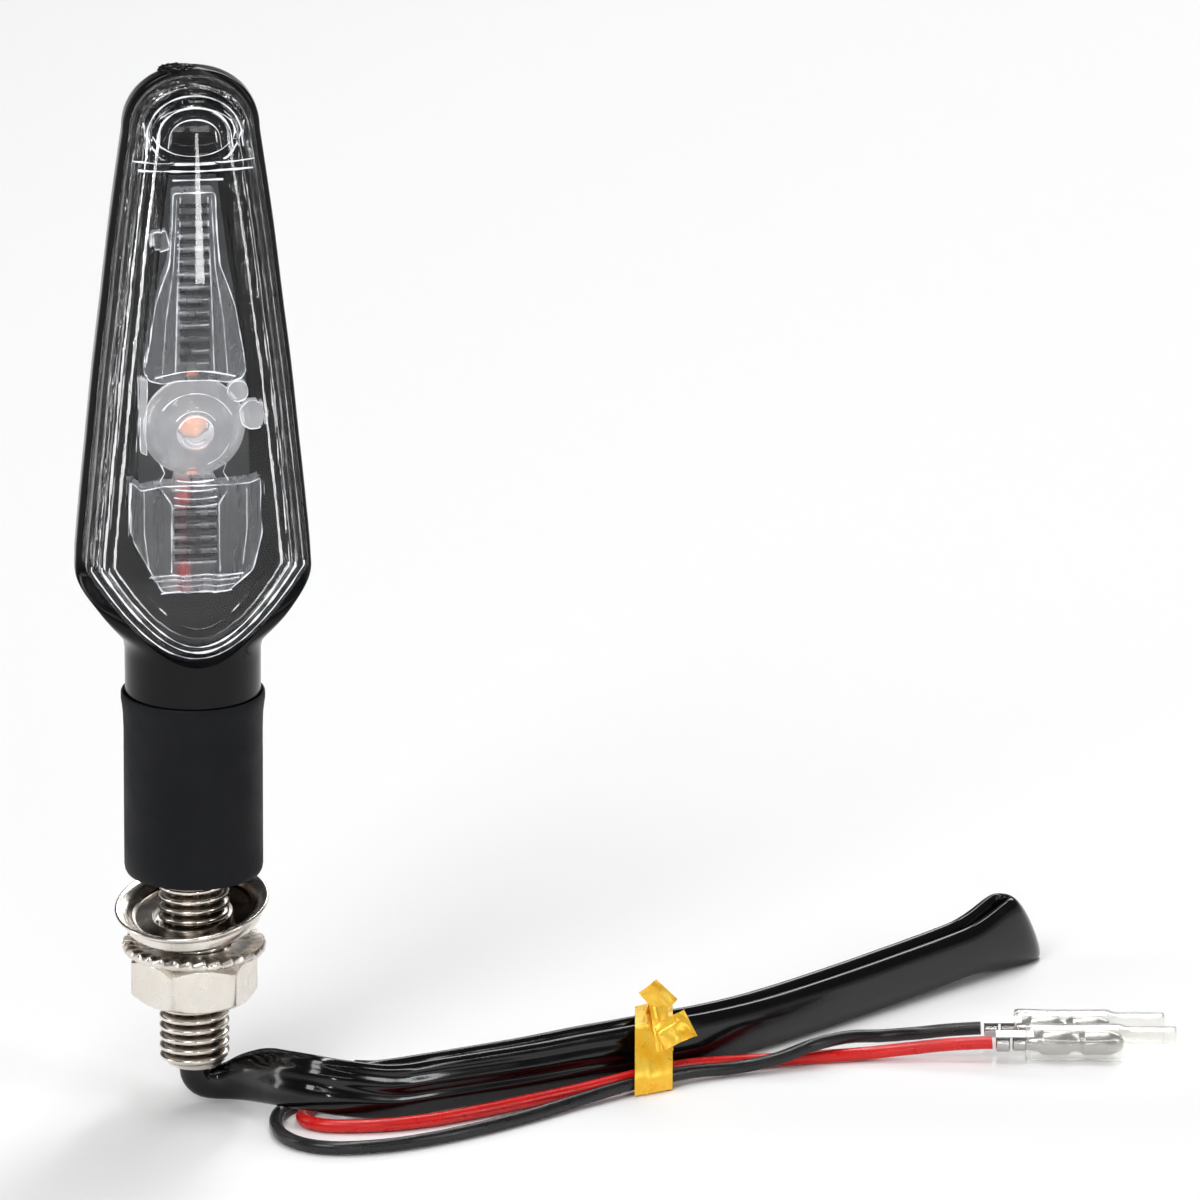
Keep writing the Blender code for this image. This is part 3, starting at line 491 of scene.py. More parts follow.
def lens_plastic():
    s = Shader("lens_plastic", (0.97, 0.975, 0.985), 0.02, Transmission_Weight=1.0, IOR=1.33)
    s.roughen(s.noise(90.0), 0.35, 0.7, 0.0, 0.05)
    s.bump(s.noise(70.0, 1.0, (2.2, 1.0, 0.35)), 0.000030)
    rim = s.node("Attribute", attribute_name="rim").outputs["Fac"]
    s.bump(s.maths("MULTIPLY", rim, s.noise(1500.0, 2.0, (1.0, 1.0, 0.012))), 0.000160)
    s.lets_lamps_through(0.93)
    return s.mat


def guide_plastic(name, half, z_low, z_high):
    """Clear at the ribbed core, with painted shade colouring the bars between the ribs nearly black, and
    streaky towards the edges.
    """
    s = Shader(name, (0.96, 0.965, 0.98), 0.05, Transmission_Weight=0.97, IOR=1.40)
    maths, apart = s.maths, s.node("SeparateXYZ")
    s.links.new(s.place, apart.inputs["Vector"])
    outward = maths("ABSOLUTE", apart.outputs["X"])
    height = apart.outputs["Z"]
    streak = s.noise(520.0, 3.0, (1.0, 0.2, 0.10))
    ramp = s.tint(streak, 0.35, 0.68, (0.66, 0.67, 0.71), (0.98, 0.985, 1.0))
    phase = maths("FRACT", maths("DIVIDE", maths("SUBTRACT", height, z_low), RIB_PITCH))
    bars = maths("MULTIPLY", maths("GREATER_THAN", phase, 0.42), maths("LESS_THAN", outward, half))
    inside = maths("MULTIPLY", maths("GREATER_THAN", height, z_low), maths("LESS_THAN", height, z_high))
    rib_gap_shade = maths("MULTIPLY", bars, inside)
    # Painted shade: the bars between the ribs of the core are coloured nearly black.
    s.mixed_tint(rib_gap_shade, ramp, (0.015, 0.015, 0.018))
    cloudy = maths("ADD", s.spread(rib_gap_shade, 0.0, 1.0, 0.55, 0.0), s.spread(streak, 0.35, 0.65, -0.22, 0.25))
    s.roughen(cloudy, 0.0, 1.0, 0.02, 0.46)
    s.bump(streak, 0.000120)
    s.lets_lamps_through(0.88)
    return s.mat


def glowing_edge():
    # Painted highlight: the emission makes the edge beads and lens ridges glow as bright glints.
    s = Shader("moulded_edge_painted_glow", (0.93, 0.94, 0.96), 0.22, Transmission_Weight=0.35, IOR=1.45,
               Emission_Color=(0.90, 0.92, 0.97, 1.0), Emission_Strength=0.19)
    s.roughen(s.noise(600.0), 0.3, 0.7, 0.15, 0.32)
    s.bump(s.noise(900.0), 0.000030)
    return s.mat


def collimator_plastic_painted_glow():
    # Painted glow: a weak white emission makes the optic look lit from within.
    s = Shader("collimator_plastic_painted_glow", (0.93, 0.94, 0.96), 0.08, Transmission_Weight=0.86, IOR=1.49,
               Emission_Color=(0.95, 0.92, 0.91, 1.0), Emission_Strength=0.09)
    s.roughen(s.noise(240.0), 0.3, 0.7, 0.02, 0.16)
    s.tint(s.noise(260.0, 3.0, (1.0, 0.4, 0.6)), 0.36, 0.62, (0.60, 0.62, 0.66), (0.97, 0.97, 0.98))
    s.bump(s.noise(330.0, 2.0), 0.000200)
    s.lets_lamps_through(0.88)
    return s.mat


def cover_vinyl():
    s = Shader("clear_vinyl", (0.93, 0.925, 0.905), 0.08, Transmission_Weight=0.93, IOR=1.47)
    s.roughen(s.noise(380.0), 0.3, 0.7, 0.04, 0.16)
    s.bump(s.noise(260.0, 2.0), 0.000080)
    s.lets_lamps_through(0.92)
    return s.mat


def stem_rubber():
    s = Shader("stem_rubber", (0.006, 0.0065, 0.008), 0.55, Specular_IOR_Level=0.14)
    s.roughen(s.noise(160.0), 0.3, 0.7, 0.48, 0.66)
    s.tint(s.noise(90.0), 0.3, 0.75, (0.0050, 0.0056, 0.0070), (0.0085, 0.0092, 0.0110))
    s.bump(s.noise(1900.0, 4.0), 0.000030)
    s.bump(s.spread(s.cells(420.0), 0.0, 0.10, 0.0, 1.0), 0.000040)
    return s.mat


def nickel(name, roughness, pits=0.0, hollow_shade=False):
    s = Shader(name, (0.80, 0.755, 0.69), roughness[0], 1.0)
    s.roughen(s.noise(420.0), 0.3, 0.7, *roughness)
    ramp = s.tint(s.noise(130.0), 0.3, 0.7, (0.74, 0.69, 0.62), (0.85, 0.81, 0.75))
    # Painted shade: the colour is multiplied towards dark brown by the number each point stores, which is high
    # in hollows where shade falls.
    if hollow_shade:
        depth = s.node("Attribute", attribute_name="painted_shade").outputs["Fac"]
        s.mixed_tint(depth, ramp, (0.10, 0.065, 0.045), "MULTIPLY")
    s.bump(s.noise(900.0, 3.0), 0.000012)
    if pits:
        s.bump(s.spread(s.cells(230.0), 0.0, 0.22, 0.0, 1.0), pits)
    return s.mat


def tinned():
    s = Shader("tinned_brass", (0.52, 0.51, 0.49), 0.20, 1.0)
    s.roughen(s.noise(700.0), 0.3, 0.7, 0.10, 0.28)
    s.bump(s.noise(1500.0, 3.0), 0.000014)
    return s.mat


def black_pvc():
    s = Shader("sleeve_pvc", (0.0018, 0.0018, 0.0024), 0.12, Specular_IOR_Level=0.42, Coat_Weight=0.10,
               Coat_Roughness=0.05)
    s.roughen(s.noise(120.0), 0.3, 0.7, 0.09, 0.20)
    s.bump(s.noise(46.0, 2.0), 0.00022)
    s.bump(s.noise(900.0, 3.0), 0.000008)
    return s.mat


def wire_insulation(name, dark, light):
    s = Shader(name, light, 0.3, Specular_IOR_Level=0.45)
    s.tint(s.noise(160.0), 0.3, 0.7, dark, light)
    s.roughen(s.noise(500.0), 0.3, 0.7, 0.24, 0.38)
    s.bump(s.noise(900.0, 3.0), 0.000020)
    return s.mat


def gold_foil():
    s = Shader("gold_foil", (1.0, 0.58, 0.04), 0.30, 0.35)
    s.tint(s.noise(380.0), 0.3, 0.75, (0.95, 0.48, 0.015), (1.0, 0.68, 0.08))
    s.roughen(s.noise(600.0), 0.3, 0.7, 0.24, 0.40)
    s.bump(s.cells(340.0, (1.0, 1.0, 0.35), "F1"), 0.000040)
    s.bump(s.noise(1400.0, 3.0), 0.000012)
    return s.mat


def amber_led(name="amber_led", centre=None, core=0.0015):
    """Amber resin with a painted glow from its emission; with a centre given, only the middle of the package
    has that painted glow and its rim is pale.
    """
    s = Shader(name, (0.95, 0.30, 0.07), 0.25, Emission_Color=(1.0, 0.28, 0.06, 1.0), Emission_Strength=0.25)
    ramp = s.tint(s.noise(700.0), 0.3, 0.7, (0.90, 0.24, 0.05), (0.98, 0.38, 0.12))
    if centre is not None:
        offset = s.vector_maths("SUBTRACT", s.place, centre)
        reach = s.vector_maths("LENGTH", s.vector_maths("MULTIPLY", offset, (1.0, 0.0, 1.0)))
        near, far = core * 0.3, core * 1.6
        s.mixed_tint(s.spread(reach, near, far, 0.0, 1.0), ramp, (0.30, 0.29, 0.28))
        # Painted glow: the emission is strongest at the package's middle and fades out towards its rim.
        s.links.new(s.spread(reach, near, far, 0.30, 0.0), s.main.inputs["Emission Strength"])
    return s.mat


def board_face():
    s = Shader("board_mask", (0.004, 0.006, 0.006), 0.35)
    s.tint(s.noise(300.0), 0.4, 0.6, (0.003, 0.005, 0.005), (0.009, 0.012, 0.012))
    s.bump(s.noise(1200.0), 0.000020)
    return s.mat


def chip_body():
    s = Shader("chip_body", (0.02, 0.02, 0.02), 0.4)
    s.roughen(s.noise(1500.0), 0.3, 0.7, 0.3, 0.5)
    s.bump(s.noise(2500.0), 0.000008)
    return s.mat


def studio_floor():
    """Pale floor; out past the lamps' reach it is lifted to the tone of the horizon."""
    s = Shader("studio_floor", (0.90, 0.90, 0.90), 0.9, Specular_IOR_Level=0.1,
               Emission_Color=(1.0, 1.0, 1.0, 1.0))
    reach = s.vector_maths("LENGTH", s.place)
    s.links.new(s.spread(reach, 0.6, 2.4, 0.0, 0.50), s.main.inputs["Emission Strength"])
    s.tint(s.noise(0.8), 0.2, 0.8, (0.895, 0.895, 0.895), (0.91, 0.91, 0.91))
    return s.mat


# ================================================================ camera, floor and light
def make_camera():
    ahead = Vector((sin(CAMERA_YAW), cos(CAMERA_YAW), 0.0))
    place = CAMERA_TARGET - ahead * CAMERA_DISTANCE * cos(CAMERA_RISE)
    place.z += CAMERA_DISTANCE * sin(CAMERA_RISE)
    data = bpy.data.cameras.new("camera")
    data.lens, data.sensor_width = CAMERA_LENS, 36.0
    data.clip_start, data.clip_end = 0.05, 100.0
    camera = bpy.data.objects.new("camera", data)
    bpy.context.collection.objects.link(camera)
    camera.location = place
    camera.rotation_mode = "QUATERNION"
    aim = (CAMERA_TARGET - place).to_track_quat("-Z", "Y")
    camera.rotation_quaternion = aim @ Quaternion((0.0, 0.0, 1.0), CAMERA_ROLL)
    bpy.context.scene.camera = camera


def softbox(name, place, size, power, aim=(0.04, 0.0, 0.03)):
    data = bpy.data.lights.new(name, "AREA")
    data.shape = "RECTANGLE"
    data.size, data.size_y = size
    data.energy = power
    lamp = bpy.data.objects.new(name, data)
    bpy.context.collection.objects.link(lamp)
    lamp.location = place
    lamp.rotation_mode = "QUATERNION"
    lamp.rotation_quaternion = (Vector(aim) - Vector(place)).to_track_quat("-Z", "Y")
    return lamp


def make_studio():
    bm = bmesh.new()
    bmesh.ops.create_circle(bm, cap_ends=True, segments=96, radius=30.0)
    floor = finished("studio_floor", bm, studio_floor())
    floor.location.z = FLOOR_Z - 0.0001
    softbox("key_softbox", (-0.60, -0.85, 1.00), (0.45, 0.65), 7.6)
    softbox("top_strip", (0.10, 0.15, 1.10), (0.10, 1.10), 7.0)
    softbox("back_softbox", (0.55, 1.00, 0.75), (0.9, 0.4), 5.6)
    softbox("left_edge_strip", (-1.05, 0.15, 0.35), (0.16, 0.8), 2.0)
    softbox("right_fill", (1.0, -0.7, 0.55), (0.10, 0.8), 2.6)
    softbox("front_strip", (0.15, -1.20, 0.78), (1.30, 0.045), 1.6)
    low_strip = softbox("low_front_strip", (0.048, -0.450, 0.066), (0.0220, 0.090), 0.150,
                        aim=(0.0, 0.0, 0.118))
    low_strip.visible_camera = False
    world = bpy.data.worlds.new("studio")
    world.use_nodes = True
    nodes, links = world.node_tree.nodes, world.node_tree.links
    place = nodes.new("ShaderNodeTexCoord")
    split = nodes.new("ShaderNodeSeparateXYZ")
    ramp = nodes.new("ShaderNodeValToRGB")
    links.new(place.outputs["Generated"], split.inputs["Vector"])
    links.new(split.outputs["Z"], ramp.inputs["Fac"])
    horizon, above = ramp.color_ramp.elements
    horizon.position, horizon.color = 0.02, (0.60, 0.60, 0.60, 1.0)
    above.position, above.color = 0.22, (0.10, 0.10, 0.103, 1.0)
    links.new(ramp.outputs["Color"], nodes["Background"].inputs["Color"])
    bpy.context.scene.world = world
    scene = bpy.context.scene
    scene.view_settings.view_transform = "Standard"
    scene.cycles.max_bounces = 16
    scene.cycles.transmission_bounces = 14
    scene.cycles.transparent_max_bounces = 16
    scene.cycles.use_denoising = True
    scene.cycles.sample_clamp_indirect = 6.0


# ================================================================ lead
def side_step(points, distance):
    """A line beside another in plan, `distance` to its left."""
    out = []
    for k, p in enumerate(points):
        a, b = Vector(points[max(k - 1, 0)]), Vector(points[min(k + 1, len(points) - 1)])
        d = (b - a).xy.normalized()
        out.append((p[0] - d.y * distance, p[1] + d.x * distance, p[2]))
    return out


def sleeve_route():
    """The sleeve's middle line from the bolt, out along the bundle, round the fold and back."""
    half = RUN_SPACING / 2
    end, before = Vector(BUNDLE[-1]), Vector(BUNDLE[-2])
    out = (end - before).xy.normalized()
    fold = []
    for k in (1, 2, 3):
        a = -pi / 2 + pi * k / 4
        step = out * (half * 1.5 * cos(a)) + Vector((-out.y, out.x)) * (half * sin(a))
        fold.append((end.x + step.x, end.y + step.y, end.z))
    start = [p[:3] for p in SLEEVE_START]
    back = list(reversed(side_step(BUNDLE, half)))
    return start + side_step(BUNDLE, -half) + fold + back + [SLEEVE_END]


def make_sleeve(mat):
    """The flattened PVC sleeve, with its far fold flared and its two ends closed with flat caps."""
    points = smooth_route(sleeve_route(), 0.0007)
    tip = Vector(BUNDLE[-1]) + (Vector(BUNDLE[-1]) - Vector(BUNDLE[-2])).normalized() * 0.002
    out = (tip - Vector(BUNDLE[-2])).xy.normalized()
    heights, leans, run = [], [], 0.0
    for k, p in enumerate(SLEEVE_START):
        if k:
            run += (Vector(p[:3]) - Vector(SLEEVE_START[k - 1][:3])).length
        heights.append((run, p[3]))
        leans.append((run, radians(p[4])))
    heights.append((run + 0.040, SLEEVE_H))
    leans.append((run + 0.010, 0.0))
    grown, rings, sides = 0.0, [], 72
    for k, p in enumerate(points):
        if k:
            grown += (p - points[k - 1]).length
        along = (points[min(k + 4, len(points) - 1)] - points[max(k - 4, 0)]).normalized()
        across = Vector((0.0, 0.0, 1.0)).cross(along)
        across = Vector((0.45, 0.89, 0.0)) if across.length < 0.25 or k < 10 else across.normalized()
        tall = along.cross(across).normalized()
        across = tall.cross(along).normalized()
        near = max(0.0, 1 - (p - tip).length / 0.013)
        flare = 1 + (FOLD_FLARE - 1) * ease(near)
        height = between(heights, grown) * flare
        pinch = max(0.0, 1 - (abs(grown - 0.046) / 0.034) ** 2)
        turn = Matrix.Rotation(-between(leans, grown), 3, along)
        across, tall = turn @ across, turn @ tall
        ring = []
        for j in range(sides):
            a = 2 * pi * j / sides
            c, s = cos(a), sin(a)
            high, low = s - 0.50 - 0.08 * sin(grown * 55), s + 0.10 - 0.10 * sin(grown * 38 + 1.0)
            crease = 1 - 0.24 * pinch * exp(-((high / 0.16) ** 2)) - 0.28 * pinch * exp(-((low / 0.17) ** 2))
            u = signed_power(c, 0.9) * SLEEVE_T / 2 * crease
            v = signed_power(s, 0.9) * height / 2
            place = p + across * u + tall * v
            lean = -FOLD_LEAN * near * near * v
            ring.append(place + Vector((out.x, out.y, 0.0)) * lean)
        rings.append(ring)
    sleeve = finished("sleeve", loft(rings), mat, 60.0)
    ridden(sleeve, "stem", "black_pvc", "pvc_sleeve")
    return sleeve


def make_wire(name, route, mat, slot_name, node, body="stem"):
    """A free round wire, as a smooth bevelled curve with closed ends."""
    points = smooth_route(route, 0.0007)
    curve = bpy.data.curves.new(name, "CURVE")
    curve.dimensions = "3D"
    curve.bevel_depth = WIRE_D / 2
    curve.bevel_resolution = 6
    curve.use_fill_caps = True
    spline = curve.splines.new("POLY")
    spline.points.add(len(points) - 1)
    for point, place in zip(spline.points, points):
        point.co = (*place, 1.0)
    spline.use_smooth = True
    curve.materials.append(mat)
    obj = bpy.data.objects.new(name, curve)
    bpy.context.collection.objects.link(obj)
    ridden(obj, body, slot_name, node)
    return obj


def along_lead(bm, start):
    """Lay a piece turned about +Z along the lead's direction, with its own origin at `start`."""
    turn = Vector((0.0, 0.0, 1.0)).rotation_difference(LEAD_AXIS).to_matrix().to_4x4()
    bmesh.ops.transform(bm, matrix=Matrix.Translation(start) @ turn, verts=bm.verts)
    return bm


def make_terminal(name, node, start, mat):
    """A bullet terminal: crimp wings round the insulation and the core, a neck and a rolled bullet."""
    bm = spindle(rounded([
        (0.0006, 0.0046), (0.0011, 0.0048), (0.0013, 0.0062), (0.0018, 0.0068), (0.0018, 0.0106),
        (0.0013, 0.0112), (0.0013, 0.0122), (0.0018, 0.0128), (0.0018, 0.0166), (0.0013, 0.0180),
        (0.0007, TERMINAL_L)], 0.00025, 3, closed=False), 40)
    for z0, z1, r, pinch in ((0.0002, 0.0022, 0.00118, 0.00022), (0.0026, 0.0046, 0.00105, 0.00034)):
        rings = []
        for z, swell in ((z0, 0.0), (z0 + 0.00015, 0.00018), (z1 - 0.00015, 0.00018), (z1, 0.0)):
            ring = []
            for j in range(36):
                a = 2 * pi * j / 36
                fold = pinch * exp(-((a - pi) / 0.32) ** 2)
                q = r + swell - fold
                ring.append((q * cos(a), q * sin(a), z))
            rings.append(ring)
        loft(rings, bm=bm)
    strip = [(-0.00095, 0.0), (0.00095, 0.0), (0.00095, 0.00022), (-0.00095, 0.00022)]
    loft([[(-0.00118 - y, x, z) for x, y in strip] for z in (0.0002, 0.0056)], bm=bm)
    obj = finished(name, along_lead(bm, start), mat, 40.0)
    return ridden(obj, "stem", "tinned_brass", node)


def make_cover(name, node, start, mat, body):
    """A clear vinyl cover, open at both ends, with a step and a slight droop in its mouth."""
    step, wall = 0.0142, 0.00038
    outer = [
        (0.0, COVER_R - 0.0001), (0.0006, COVER_R), (0.0060, COVER_R - 0.0001), (step - 0.0008, COVER_R),
        (step, COVER_R - 0.0003), (step + 0.0006, COVER_R - 0.0004), (COVER_L - 0.0008, COVER_R - 0.0004),
        (COVER_L, COVER_R - 0.00045),
    ]
    profile = [(r, z) for z, r in outer] + [(r - wall, z) for z, r in reversed(outer)]
    bm = turned(rounded(profile, 0.00018, 3), 64)
    bm = along_lead(bm, start + LEAD_AXIS * COVER_INSET)
    for vert in bm.verts:
        vert.co += noise.noise_vector(vert.co * 220.0) * 0.00007
    obj = finished(name, bm, mat, 50.0)
    return ridden(obj, body, "clear_plastic", node)


def tie_point(t, n, z):
    """A point of the twist tie: t along the band's width, n across the bundle, z up."""
    local = Vector((t, n + t * tan(TIE_SKEW), z))
    return Matrix.Rotation(TIE_ANGLE, 3, "Z") @ local + TIE_CENTRE


def foil_strip(name, path, width, mat, thickness=0.00022, drift=0.0, closed=False):
    """A strip of foil along (n, z) points, with creases across and a wire ridge down its middle."""
    flat = [Vector((p[0], p[1], 0.0)) for p in path]
    if closed:
        flat.append(flat[0])
    line = smooth_route(flat, 0.0003)
    if closed:
        line = line[:-1]
    count, columns = len(line), 12
    rings = []
    for k, p in enumerate(line):
        if closed:
            a, b = line[k - 1], line[(k + 1) % count]
        else:
            a, b = line[max(k - 1, 0)], line[min(k + 1, count - 1)]
        d = (b - a).normalized()
        normal = Vector((d.y, -d.x, 0.0))
        shift = drift * k / max(count - 1, 1)
        front, back = [], []
        for j in range(columns + 1):
            u = j / columns - 0.5
            t = u * width + shift
            crease = noise.noise(Vector((k * 0.16, j * 0.7, len(name)))) * 0.00010
            ridge = 0.00016 * exp(-((u + 0.18) / 0.05) ** 2)
            lift = normal * (crease + ridge)
            place, under = p + lift + normal * thickness / 2, p + lift - normal * thickness / 2
            front.append(tie_point(t, place.x, place.y))
            back.append(tie_point(t, under.x, under.y))
        rings.append(front + back[::-1])
    strip = finished(name, loft(rings, cap_ends=not closed, closed_loop=closed), mat, 50.0)
    return ridden(strip, "stem", "gold_foil", "twist_tie")


def foil_patch(name, corners, mat, curl=0.0004, size=18):
    """A flat end of the tie between four corners (t, n, z), with creases and a wire ridge."""
    low_left, low_right, high_right, high_left = (Vector(c) for c in corners)
    across = (low_right - low_left).cross(high_left - low_left).normalized()
    bm = bmesh.new()
    sheets = []
    for side in (1, -1):
        sheet = []
        for j in range(size + 1):
            v = j / size
            row = []
            for k in range(size + 1):
                u = k / size
                place = (low_left.lerp(low_right, u)).lerp(high_left.lerp(high_right, u), v)
                wrinkle = noise.noise(Vector((u * 2.3 + v, v * 4.1, len(name)))) * 0.00034
                wrinkle += curl * (4 * (v - 0.5) ** 2 - 0.5) + 0.00016 * exp(-((u - 0.72) / 0.05) ** 2)
                row.append(bm.verts.new(tie_point(*(place + across * (wrinkle + side * 0.00010)))))
            sheet.append(row)
        sheets.append(sheet)
    for index, sheet in enumerate(sheets):
        for low, high in zip(sheet, sheet[1:]):
            for k in range(size):
                quad = [low[k], low[k + 1], high[k + 1], high[k]]
                bm.faces.new(quad if index == 0 else quad[::-1])
    border = [(0, k) for k in range(size)] + [(j, size) for j in range(size)]
    border += [(size, k) for k in range(size, 0, -1)] + [(j, 0) for j in range(size, 0, -1)]
    for (a, b), (c, d) in zip(border, border[1:] + border[:1]):
        bm.faces.new([sheets[0][a][b], sheets[1][a][b], sheets[1][c][d], sheets[0][c][d]])
    return ridden(finished(name, bm, mat, 40.0), "stem", "gold_foil", "twist_tie")


def make_tie(mat):
    """A gold foil twist tie: a band round the bundle and its two ends twisted and folded over."""
    bottom = FLOOR_Z + TIE_T * 0.7
    loop = [
        (0.0042, bottom + 0.0002), (0.0043, -0.0300), (0.0042, -0.0268), (0.0035, -0.0264), (-0.0036, -0.0264),
        (-0.0043, -0.0268), (-0.0070, -0.0295), (-0.0092, -0.0317), (-0.0098, -0.0329),
        (-0.0096, bottom + 0.0002), (-0.0090, bottom), (-0.0030, bottom), (0.0036, bottom),
    ]
    foil_strip("tie_band", loop, TIE_W, mat, 0.0004, closed=True)
    foil_patch("tie_upper_end", [(0.0008, -0.0030, -0.0259), (-0.0022, -0.0026, -0.0219),
                                 (0.0003, -0.0022, -0.0205), (0.0034, -0.0027, -0.0239)], mat)
    foil_patch("tie_lower_end", [(0.0016, -0.0078, -0.0294), (0.0001, -0.0052, -0.0264),
                                 (0.0043, -0.0050, -0.0248), (0.0062, -0.0078, -0.0281)], mat)
    foil_strip("tie_twist", [(0.0004, -0.0262), (-0.0010, -0.0246), (-0.0024, -0.0242), (-0.0040, -0.0254),
                             (-0.0052, -0.0270), (-0.0066, -0.0288), (-0.0074, -0.0298)],
               0.0024, mat, drift=0.0016)


# ================================================================ head
def half_width(z):
    if z <= DOME_Z:
        return between(SIDE, z)
    return DOME_R * max(0.0, 1 - ((z - DOME_Z) / DOME_RISE) ** DOME_POWER) ** (1 / DOME_POWER)


def back_depth(z):
    """Behind the axis; it rounds off towards the head's top."""
    if z < DOME_Z:
        return between(BACK, z)
    return between(BACK, z) * sqrt(max(0.0, 1 - ((z - DOME_Z) / DOME_RISE) ** 2 * 0.98))


def housing_ring(z, count=120):
    """One level section: round at the neck, a flat-fronted D at the head."""
    spread = min(max((z - NECK_TOP_Z) / (0.0475 - NECK_TOP_Z), 0.0), 1.0)
    ease_in = ease(spread)
    front = NECK_R + (-LIP_Y - NECK_R) * ease_in
    boxy_front, full_back = 2 + 5 * ease_in, 2 + 0.35 * ease_in
    widest = -0.0045 * sin(pi * spread) ** 2
    ring = []
    for k in range(count):
        a = 2 * pi * k / count
        c, s = cos(a), sin(a)
        power = full_back if s >= 0 else boxy_front
        x = half_width(z) * signed_power(c, 2 / power)
        end = back_depth(z) if s >= 0 else -min(front, max(half_width(z), 0.0008))
        ring.append((x, widest + (end - widest) * abs(s) ** (2 / power), z))
    return ring


def lens_outline(inset, steps=LENS_STEPS):
    """The lens's front outline moved inwards by `inset`: from its lowest point up the right side, over
    the dome and down the left. Returns (x, z) points, the same number for every inset."""
    edge = RIM + inset

    def v_height(x):
        reach = sqrt(x * x + LENS_V_ROUND**2)
        lean = LENS_V_SLOPE * x / reach
        return LENS_V_Z + LENS_V_SLOPE * (reach - LENS_V_ROUND) + inset * sqrt(1 + lean * lean)

    corner_x = half_width(CORNER_Z) - edge
    for _ in range(8):
        corner_x = half_width(max(v_height(corner_x), CORNER_Z)) - edge
    corner_z = v_height(corner_x)
    half = [(corner_x * k / steps[0], v_height(corner_x * k / steps[0])) for k in range(steps[0] + 1)]
    for k in range(1, steps[1] + 1):
        z = corner_z + (DOME_Z - corner_z) * k / steps[1]
        half.append((half_width(z) - edge, z))
    for k in range(1, steps[2] + 1):
        c, s = max(cos(pi / 2 * k / steps[2]), 0.0), sin(pi / 2 * k / steps[2])
        round_out = (c**DOME_POWER + s**DOME_POWER) ** (-1 / DOME_POWER)
        half.append(((DOME_R - edge) * c * round_out, DOME_Z + (DOME_RISE - edge) * s * round_out))
    return half + [(-x, z) for x, z in reversed(half[1:-1])]


def make_housing(mat):
    """The black shell behind the lens, with its neck, spigot and hollow inside."""
    levels = [NECK_BOTTOM_Z, NECK_BOTTOM_Z + 0.0003, 0.0290, NECK_TOP_Z - 0.0008, NECK_TOP_Z]
    levels += [NECK_TOP_Z + (CORNER_Z - NECK_TOP_Z) * k / 20 for k in range(1, 21)]
    levels += [CORNER_Z + (DOME_Z - CORNER_Z) * k / 24 for k in range(1, 25)]
    levels += [DOME_Z + DOME_RISE * sin(pi / 2 * k / 20) for k in range(1, 20)] + [HEAD_TOP_Z - 0.00003]
    shell = finished("housing_shell", loft([housing_ring(z) for z in levels]), mat)
    spigot = finished("housing_spigot", spindle(
        [(SPIGOT_R - 0.0004, SPIGOT_BOTTOM_Z), (SPIGOT_R, SPIGOT_BOTTOM_Z + 0.0005),
         (SPIGOT_R, NECK_BOTTOM_Z + 0.001)], 60), None)
    hollowed(shell, [spigot], "UNION")
    pocket = finished("lens_pocket", prism(lens_outline(-0.00015), SEAM_Y, -0.0140), None)
    rings = []
    for s in (-1.0, 0.0, 0.2, 0.4, 0.55, 0.7, 0.82, 0.9, 0.96, 1.0):     # depth share; below 0 is in front
        narrow = max(1 - max(s, 0.0) ** 2.3, 0.0) ** (1 / 2.3) * 0.86 + 0.14
        ring = []
        for x, z in lens_outline(0.0019, (12, 40, 12)):
            level = max(0.078 + (z - 0.078) * (1 - 0.10 * max(s, 0.0) ** 2), CAVITY_FLOOR_Z)
            reach = between(BACK, level) * (1 - 0.35 * max(0.0, (level - DOME_Z) / DOME_RISE) ** 2)
            ring.append((x * narrow, -0.006 if s < 0 else s * (reach - WALL), level))
        rings.append(ring)
    cavity = finished("housing_cavity", loft(rings), None)
    bore = finished("wire_bore", loft([
        circle(r, z, 32, y=shift) for r, shift, z in (
            (0.0032, 0.0, SPIGOT_BOTTOM_Z - 0.001), (0.0032, 0.0002, NECK_BOTTOM_Z),
            (0.0027, 0.0022, NECK_TOP_Z), (0.0027, 0.0022, CAVITY_FLOOR_Z + 0.001))]), None)
    hollowed(shell, [pocket, cavity, bore])
    shell.data.shade_smooth()
    shell.data.set_sharp_from_angle(angle=radians(32.0))
    return ridden(shell, "head", "gloss_black", "housing")


def make_gate_nub(mat):
    """The torn-off moulding gate left on the housing's top."""
    bm = bmesh.new()
    bmesh.ops.create_icosphere(bm, subdivisions=5, radius=1.0)
    for vert in bm.verts:
        p = vert.co.copy()
        rough = 1 + 0.35 * noise.noise(p * 1.7 + Vector((3.1, 0.4, 2.2))) + 0.22 * noise.noise(p * 4.3)
        vert.co = Vector((-0.0020 + p.x * 0.0023 * rough, -0.0012 + p.y * 0.0012 * rough,
                          HEAD_TOP_Z - 0.0002 + p.z * 0.0009 * rough))
    return ridden(finished("gate_nub", bm, mat, 60.0), "head", "gloss_black")


def lens_ring(inset, below_face):
    """One closed line on the lens: `inset` inside its outline and `below_face` behind its face."""
    return [(x, -(between(FRONT, z) - below_face), z) for x, z in lens_outline(inset)]


def face_relief(x, z, inner):
    """How far the lens's face stands out at a place: a crown across, and on its inner side a ledge
    below the round top and an oval swelling above the ledge."""
    width = max(half_width(z) - RIM - FACE_INSET, 0.001)
    crown = 0.00045 * (1 - min(abs(x) / width, 1.0) ** 2)
    if not inner:
        return crown
    ledge = -0.0008 * exp(-((z - WINDOW_BAR_Z + 6.0 * x * x) / 0.00042) ** 2)
    oval = (x / 0.0052) ** 2 + ((z - BULGE_Z) / 0.0033) ** 2
    return crown + ledge - 0.0010 * sqrt(max(1 - oval, 0.0))


